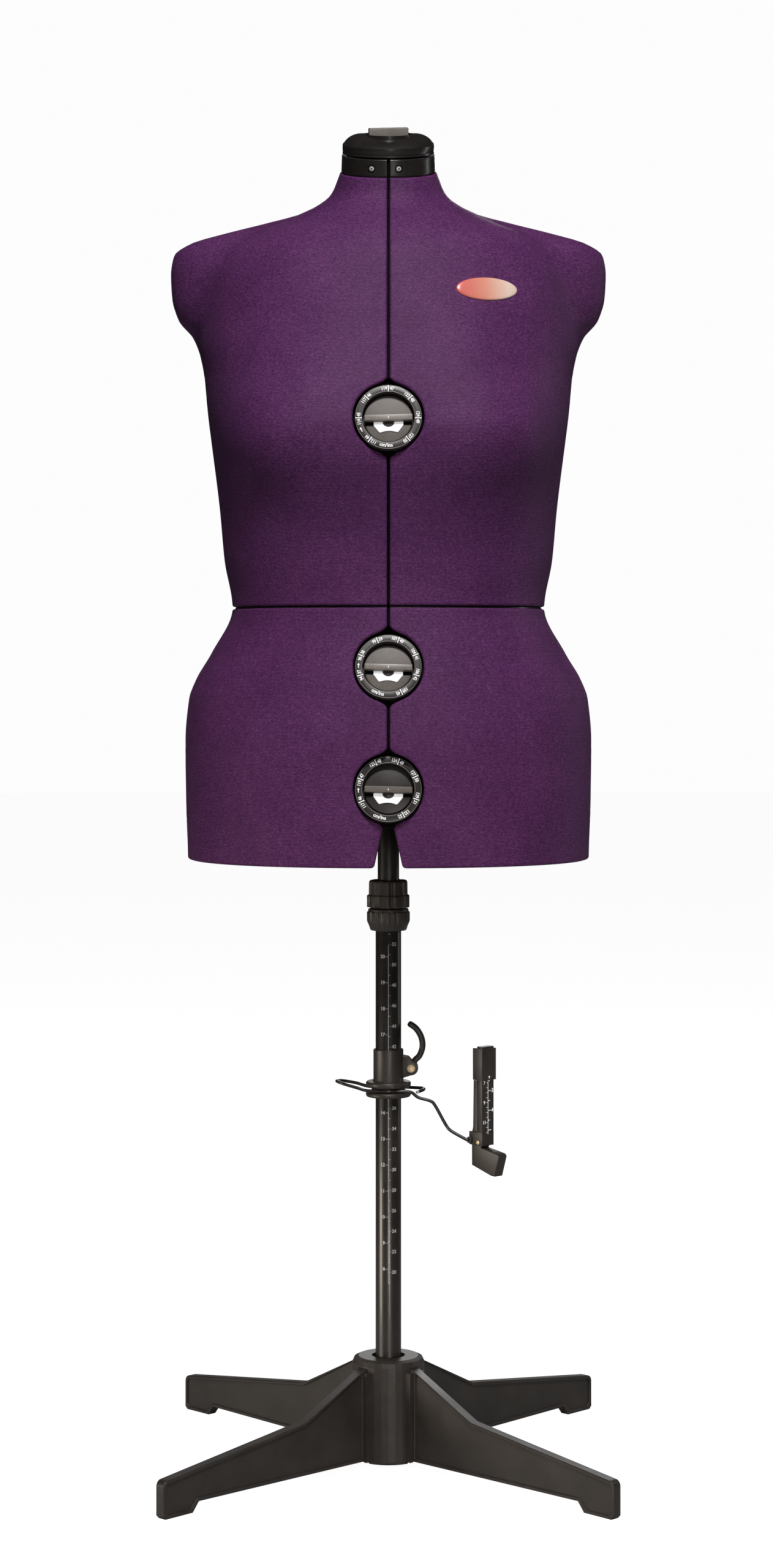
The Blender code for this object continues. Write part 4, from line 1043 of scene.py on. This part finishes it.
def clip_frame():
    forward, up = Vector((math.sin(CLIP_TURN), -math.cos(CLIP_TURN), 0)), Vector((0, 0, 1))
    return shift(*CLIP_AT) @ Matrix((forward.cross(up), forward, up)).transposed().to_4x4()

def groove_rim(bottom, top):
    return arc(FLANGE_R - 0.0016, (bottom + top) / 2, 0.0016, (top - bottom) / 2, 90, -91, -15)


def marker_sleeve():
    """Sleeve with a groove for the wire between two flanges, and two ears for the lever's pin."""
    low, groove_low, groove_high, high = FLANGE_Z
    profile = [
        (SLEEVE_R - 0.0006, SLEEVE_TOP), (SLEEVE_R, SLEEVE_TOP - 0.0007), (SLEEVE_R, high + 0.0012),
        (SLEEVE_R + 0.0004, high + 0.0003), (SLEEVE_R + 0.0012, high), *groove_rim(groove_high, high),
        (GROOVE_R + 0.0004, groove_high), (GROOVE_R, groove_high - 0.0004), (GROOVE_R, groove_low + 0.0004),
        (GROOVE_R + 0.0004, groove_low), *groove_rim(low, groove_low), (SLEEVE_BORE_R + 0.0006, low),
        (SLEEVE_BORE_R, low + 0.0006), (SLEEVE_BORE_R, SLEEVE_TOP - 0.0005),
    ]
    made = Piece().turned(profile, STAND, None, 96)
    round_pin = arc(PIVOT.x, PIVOT.z, 0.0070, 0.0070, 75, -91, -15)
    ear = [(0.0135, 0.3965), (0.0200, 0.3952), *round_pin, (0.0135, 0.3745)]
    for side in (-1, 1):
        beside = shift(0, side * (EAR_GAP + EAR_THICK / 2), 0) @ spin(90, "X")
        made.plate(ear[::-1], EAR_THICK, STAND, beside, 0.0005)
    made.make("sliding_sleeve", "marker", ["marker_sleeve"], "stand_plastic")


def marker_lever():
    """Cam with its round hook, and the hollow-headed pin it turns on."""
    half = EAR_GAP - 0.0005
    lying = shift(*PIVOT) @ spin(90, "X")
    cam = [(0, half), (0.0056, half), (0.0062, half - 0.0006)]
    cam += [(r, -z) for r, z in cam[::-1]]
    made = Piece().turned(cam, STAND, lying, 48)
    hook = (
        (0.0262, 0, 0.3915), (0.0306, 0, 0.3962), (0.0334, 0, 0.4048), (0.0322, 0, 0.4140),
        (0.0272, 0, 0.4224), (0.0196, 0, 0.4280),
    )
    route = through([PIVOT + Vector((0.0015, 0, 0.002)), *(Vector(p) for p in hook)], 8)
    made.bar(route, [0.0030] * (len(route) - 2) + [0.0028, 0.0019], STAND, None, 20)
    made.make("cam_hook", "marker_lever", ["cam_lever"], "stand_plastic")
    face = EAR_GAP + EAR_THICK + 0.0003
    pin = [
        (0, face + 0.0006), (0.0013, face + 0.0006), (0.0016, face + 0.0016), (0.0020, face + 0.0018),
        (0.0028, face + 0.0017), (0.0038, face + 0.0013), (0.0041, face + 0.0007), (0.0041, face),
        (0.0020, face), (0.0020, -face - 0.0007), (0.0017, -face - 0.001), (0, -face - 0.001),
    ]
    Piece().turned(pin, BRASS, lying, 40).make("hollow_headed_pin", "marker_lever", ["lever_pin"], "brass")


def marker_wire():
    """One bent wire: bare hook, back of the groove, finger loop, front of the groove, arm to the clip."""
    ring, mid = GROOVE_R + WIRE_R + 0.0007, (FLANGE_Z[1] + FLANGE_Z[2]) / 2
    back, front = (arc(0, 0, ring, ring, first, first + 61, 30) for first in (50, 240))
    # points as x, y and height from the middle of the groove
    route = (
        (0.0275, -0.0090, -0.0022), (0.0342, -0.0040, -0.0003), (0.0335, 0.0035, 0.0002), (0.0250, 0.0090, 0),
        *((x, y, 0) for x, y in back), (-0.0190, 0.0165, 0.0001), (-0.0320, 0.0140, 0.0040),
        (-0.0450, 0.0095, 0.0068), (-0.0505, 0.0020, 0.0074), (-0.0440, -0.0060, 0.0058),
        (-0.0310, -0.0105, 0.0026), (-0.0215, -0.0130, 0.0002), *((x, y, 0) for x, y in front),
        (0.0215, -0.0160, -0.0008), (0.0290, -0.0175, -0.0058), (0.0405, -0.0190, -0.0090),
        (0.0455, -0.0200, -0.0135), (0.0560, -0.0225, -0.0320), (0.0615, -0.0260, -0.0375),
    )
    line = through([*(Vector((x, y, mid + z)) for x, y, z in route), clip_frame() @ WIRE_END], 8)
    made = Piece().bar(line[2:], WIRE_R, PAINT, None, 16)
    made.bar(line[:4], [WIRE_R * share for share in (0.86, 0.97, 0.97, 0.5)], STEEL_PAINTED_REFLECTION, None, 16)
    made.make("bent_wire_arm", "marker_arm", ["marker_wire"], "painted_steel")


# a flat print's local X, Y and Z as seen from the clip's front, and a flat outline's as seen from its side
FRONT_ON = Matrix(((-1, 0, 0, 0), (0, 0, 1, 0), (0, 1, 0, 0), (0, 0, 0, 1)))
SIDE_ON = Matrix(((0, 0, 1, 0), (1, 0, 0, 0), (0, 1, 0, 0), (0, 0, 0, 1)))


def clip_bar(place, half):
    """Bar with two cheeks, a block for the wire, and a scale on its front."""
    made = Piece()
    made.block((-half, CLIP_BACK, 0.0090), (half, CLIP_FRONT, CLIP_TOP), STAND, place, 0.0007)
    made.block((-half, CLIP_FRONT - 0.0017, -0.0030), (half, CLIP_FRONT, 0.0110), STAND, place, 0.0006)
    for a, b in ((-half, -half + CLIP_CHEEK), (half - CLIP_CHEEK, half)):
        made.block((a, -0.0130, -0.0030), (b, CLIP_FRONT - 0.0004, 0.0100), STAND, place, 0.0006)
    x, y, z = WIRE_END
    low, high = (half - 0.001, y - 0.0026, z - 0.003), (x - 0.0016, y + 0.0023, z + 0.003)
    made.block(low, high, STAND, place, 0.0006)
    front = place @ shift(0, CLIP_FRONT + 0.00005, 0) @ FRONT_ON
    made.mark((-0.0004, 0.008), (0.0002, 0.090), CLIP_INK, PRINT_PAINTED_GLOW, front)
    for i in range(9):
        z = 0.0120 + i * 0.00952
        made.mark((0.0, z - 0.0003), (0.0042 if i % 2 == 0 else 0.0026, z + 0.0003), CLIP_INK, PRINT_PAINTED_GLOW, front)
        if i % 2 == 0 and i:
            made.words(str(5 - i // 2), 0.0052, PRINT_PAINTED_GLOW, front @ shift(0.0058, z, 0.00001))
    for i in range(17):
        z = 0.0100 + i * 0.0048
        made.mark((-0.0028, z - 0.00015), (0.0, z + 0.00015), CLIP_INK, PRINT_PAINTED_GLOW, front)
        if i % 4 == 2:
            made.words(str(12 - i // 2), 0.0044, PRINT_PAINTED_GLOW, front @ shift(-0.0050, z, 0.00001))
    made.make("scale_bar", "marker_arm", ["clip_bar"], "stand_plastic")


def clip_jaw_and_pin(place, half):
    # (forward from the pin, height above it), round the jaw's side from the top of its sprung tongue
    jaw = [
        (-0.0040, 0.0595), (-0.0092, 0.0595), (-0.0100, 0.0140), (-0.0125, 0.0060), (-0.0116, -0.0040),
        (-0.0116, -0.0232), (0.0150, -0.0305), (0.0200, -0.0308), (0.0262, -0.0110), (0.0240, -0.0088),
        (0.0012, -0.0053), (0.0030, -0.0016), (0.0030, 0.0018), (0.0000, 0.0034), (-0.0040, 0.0080),
    ]
    made = Piece().plate(jaw, JAW_WIDTH, STAND, place @ SIDE_ON, 0.0006, 3)
    made.make("sprung_jaw", "clip_jaw", ["clip_jaw"], "stand_plastic")
    pin = [
        (0, half + 0.0006), (0.0010, half + 0.0007), (0.0012, half + 0.0011), (0.0018, half + 0.0010),
        (0.0021, half + 0.0006), (0.0021, half + 0.0002), (0.0013, half + 0.0001), (0.0013, -half - 0.0003),
        (0.0010, -half - 0.0006), (0, -half - 0.0006),
    ]
    made = Piece().turned(pin, BRASS, place @ spin(90, "Y"), 24)
    made.make("clip_hinge_pin", "marker_arm", ["clip_pin"], "brass")


def clip_index(place, half):
    """Index that slides on the bar: a front, two sides and two lips behind, with a pointer."""
    low, high = SLIDER_Z
    wide, back, face, beside_jaw = half + 0.0015, -0.0062, CLIP_FRONT + 0.0016, JAW_WIDTH / 2 + 0.0003
    made = Piece()
    made.block((-wide, CLIP_FRONT + 0.0003, low), (wide, face, high), STAND, place, 0.0006)
    for a, b in ((-wide, -half - 0.0003), (half + 0.0003, wide)):
        made.block((a, back, low), (b, face - 0.0002, high), STAND, place, 0.0004)
    for a, b in ((0.0002 - wide, -beside_jaw), (beside_jaw, wide - 0.0002)):
        made.block((a, back, low + 0.0001), (b, CLIP_BACK - 0.0003, high - 0.0001), STAND, place, 0.0005)
    pointer = [(-0.0012, low + 0.0040), (0.0012, low + 0.0040), (0, low + 0.0012)]
    made.plate(pointer, CLIP_INK, PRINT_PAINTED_GLOW, place @ shift(0, face + 0.00005, 0) @ FRONT_ON, 0)
    made.make("sliding_index", "clip_slider", ["clip_slider"], "stand_plastic")


def marker():
    marker_sleeve()
    marker_lever()
    marker_wire()
    for part in (clip_bar, clip_jaw_and_pin, clip_index):
        part(clip_frame(), CLIP_WIDTH / 2)


torso_panels()
seam_lips()
badge()
size_dials()
neck()
collar_screws()
stand()
marker()

# ---- Studio ----------------------------------------------------------------------------------


def floor():
    """Pale floor that the camera sees as white and that casts little light."""
    bm = bmesh.new()
    bmesh.ops.create_circle(bm, cap_ends=True, segments=96, radius=14)
    mesh = bpy.data.meshes.new("studio_floor")
    bm.to_mesh(mesh)
    bm.free()
    look = Look("pale_floor", Roughness=0.85, Emission_Color=(1, 1, 1, 1))
    dark, light = (0.42, 0.42, 0.42), (0.46, 0.46, 0.46)
    look.use("Base Color", look.ramp(look.noise(1.5, 3), (0.3, dark), (0.7, light)))
    seen = look.node("ShaderNodeLightPath").outputs["Is Camera Ray"]
    look.use("Emission Strength", look.spread(seen, 0.02, 0.95, 0.0, 1.0))
    mesh.materials.append(look.made)
    made = bpy.data.objects.new("studio_floor", mesh)
    scene.collection.objects.link(made)


def softbox(name, place, target, size, power, spread=180, colour=(1, 1, 1)):
    data = bpy.data.lights.new(name, "AREA")
    data.shape, data.size, data.size_y = "RECTANGLE", *size
    data.energy, data.spread, data.color = power, math.radians(spread), colour
    made = bpy.data.objects.new(name, data)
    made.location = place
    made.rotation_euler = (Vector(target) - Vector(place)).to_track_quat("-Z", "Y").to_euler()
    scene.collection.objects.link(made)


floor()
softbox("key_softbox", (0.12, -1.95, 3.20), (0, -0.1, 1.0), (0.5, 0.5), 74)
softbox("front_fill", (0.40, -3.4, 0.7), (0, 0, 0.40), (0.5, 0.8), 5)
softbox("low_fill", (0.50, -2.9, 0.30), (0, 0, 0.18), (0.5, 0.4), 0.55, 34, (1, 0.90, 0.80))
softbox("low_left_strip", (-1.9, -0.7, 0.20), (0, 0, 0.17), (0.8, 0.6), 1.1, 36, (1, 0.88, 0.76))
softbox("right_strip", (1.8, 0.75, 1.2), (0, 0, 0.9), (0.25, 1.6), 3)
softbox("back_fill", (0.2, 2.8, 1.7), (0, 0, 0.8), (0.8, 0.8), 16)
world = bpy.data.worlds.new("studio")
scene.world = world
world.use_nodes = True
sky = world.node_tree.nodes["Background"]
sky.inputs["Color"].default_value = (1, 1, 1, 1)
seen = world.node_tree.nodes.new("ShaderNodeLightPath")
level = world.node_tree.nodes.new("ShaderNodeMapRange")
level.inputs["To Min"].default_value = 0.02
level.inputs["To Max"].default_value = 0.98
world.node_tree.links.new(seen.outputs["Is Camera Ray"], level.inputs["Value"])
world.node_tree.links.new(level.outputs[0], sky.inputs["Strength"])
scene.view_settings.view_transform = "Standard"
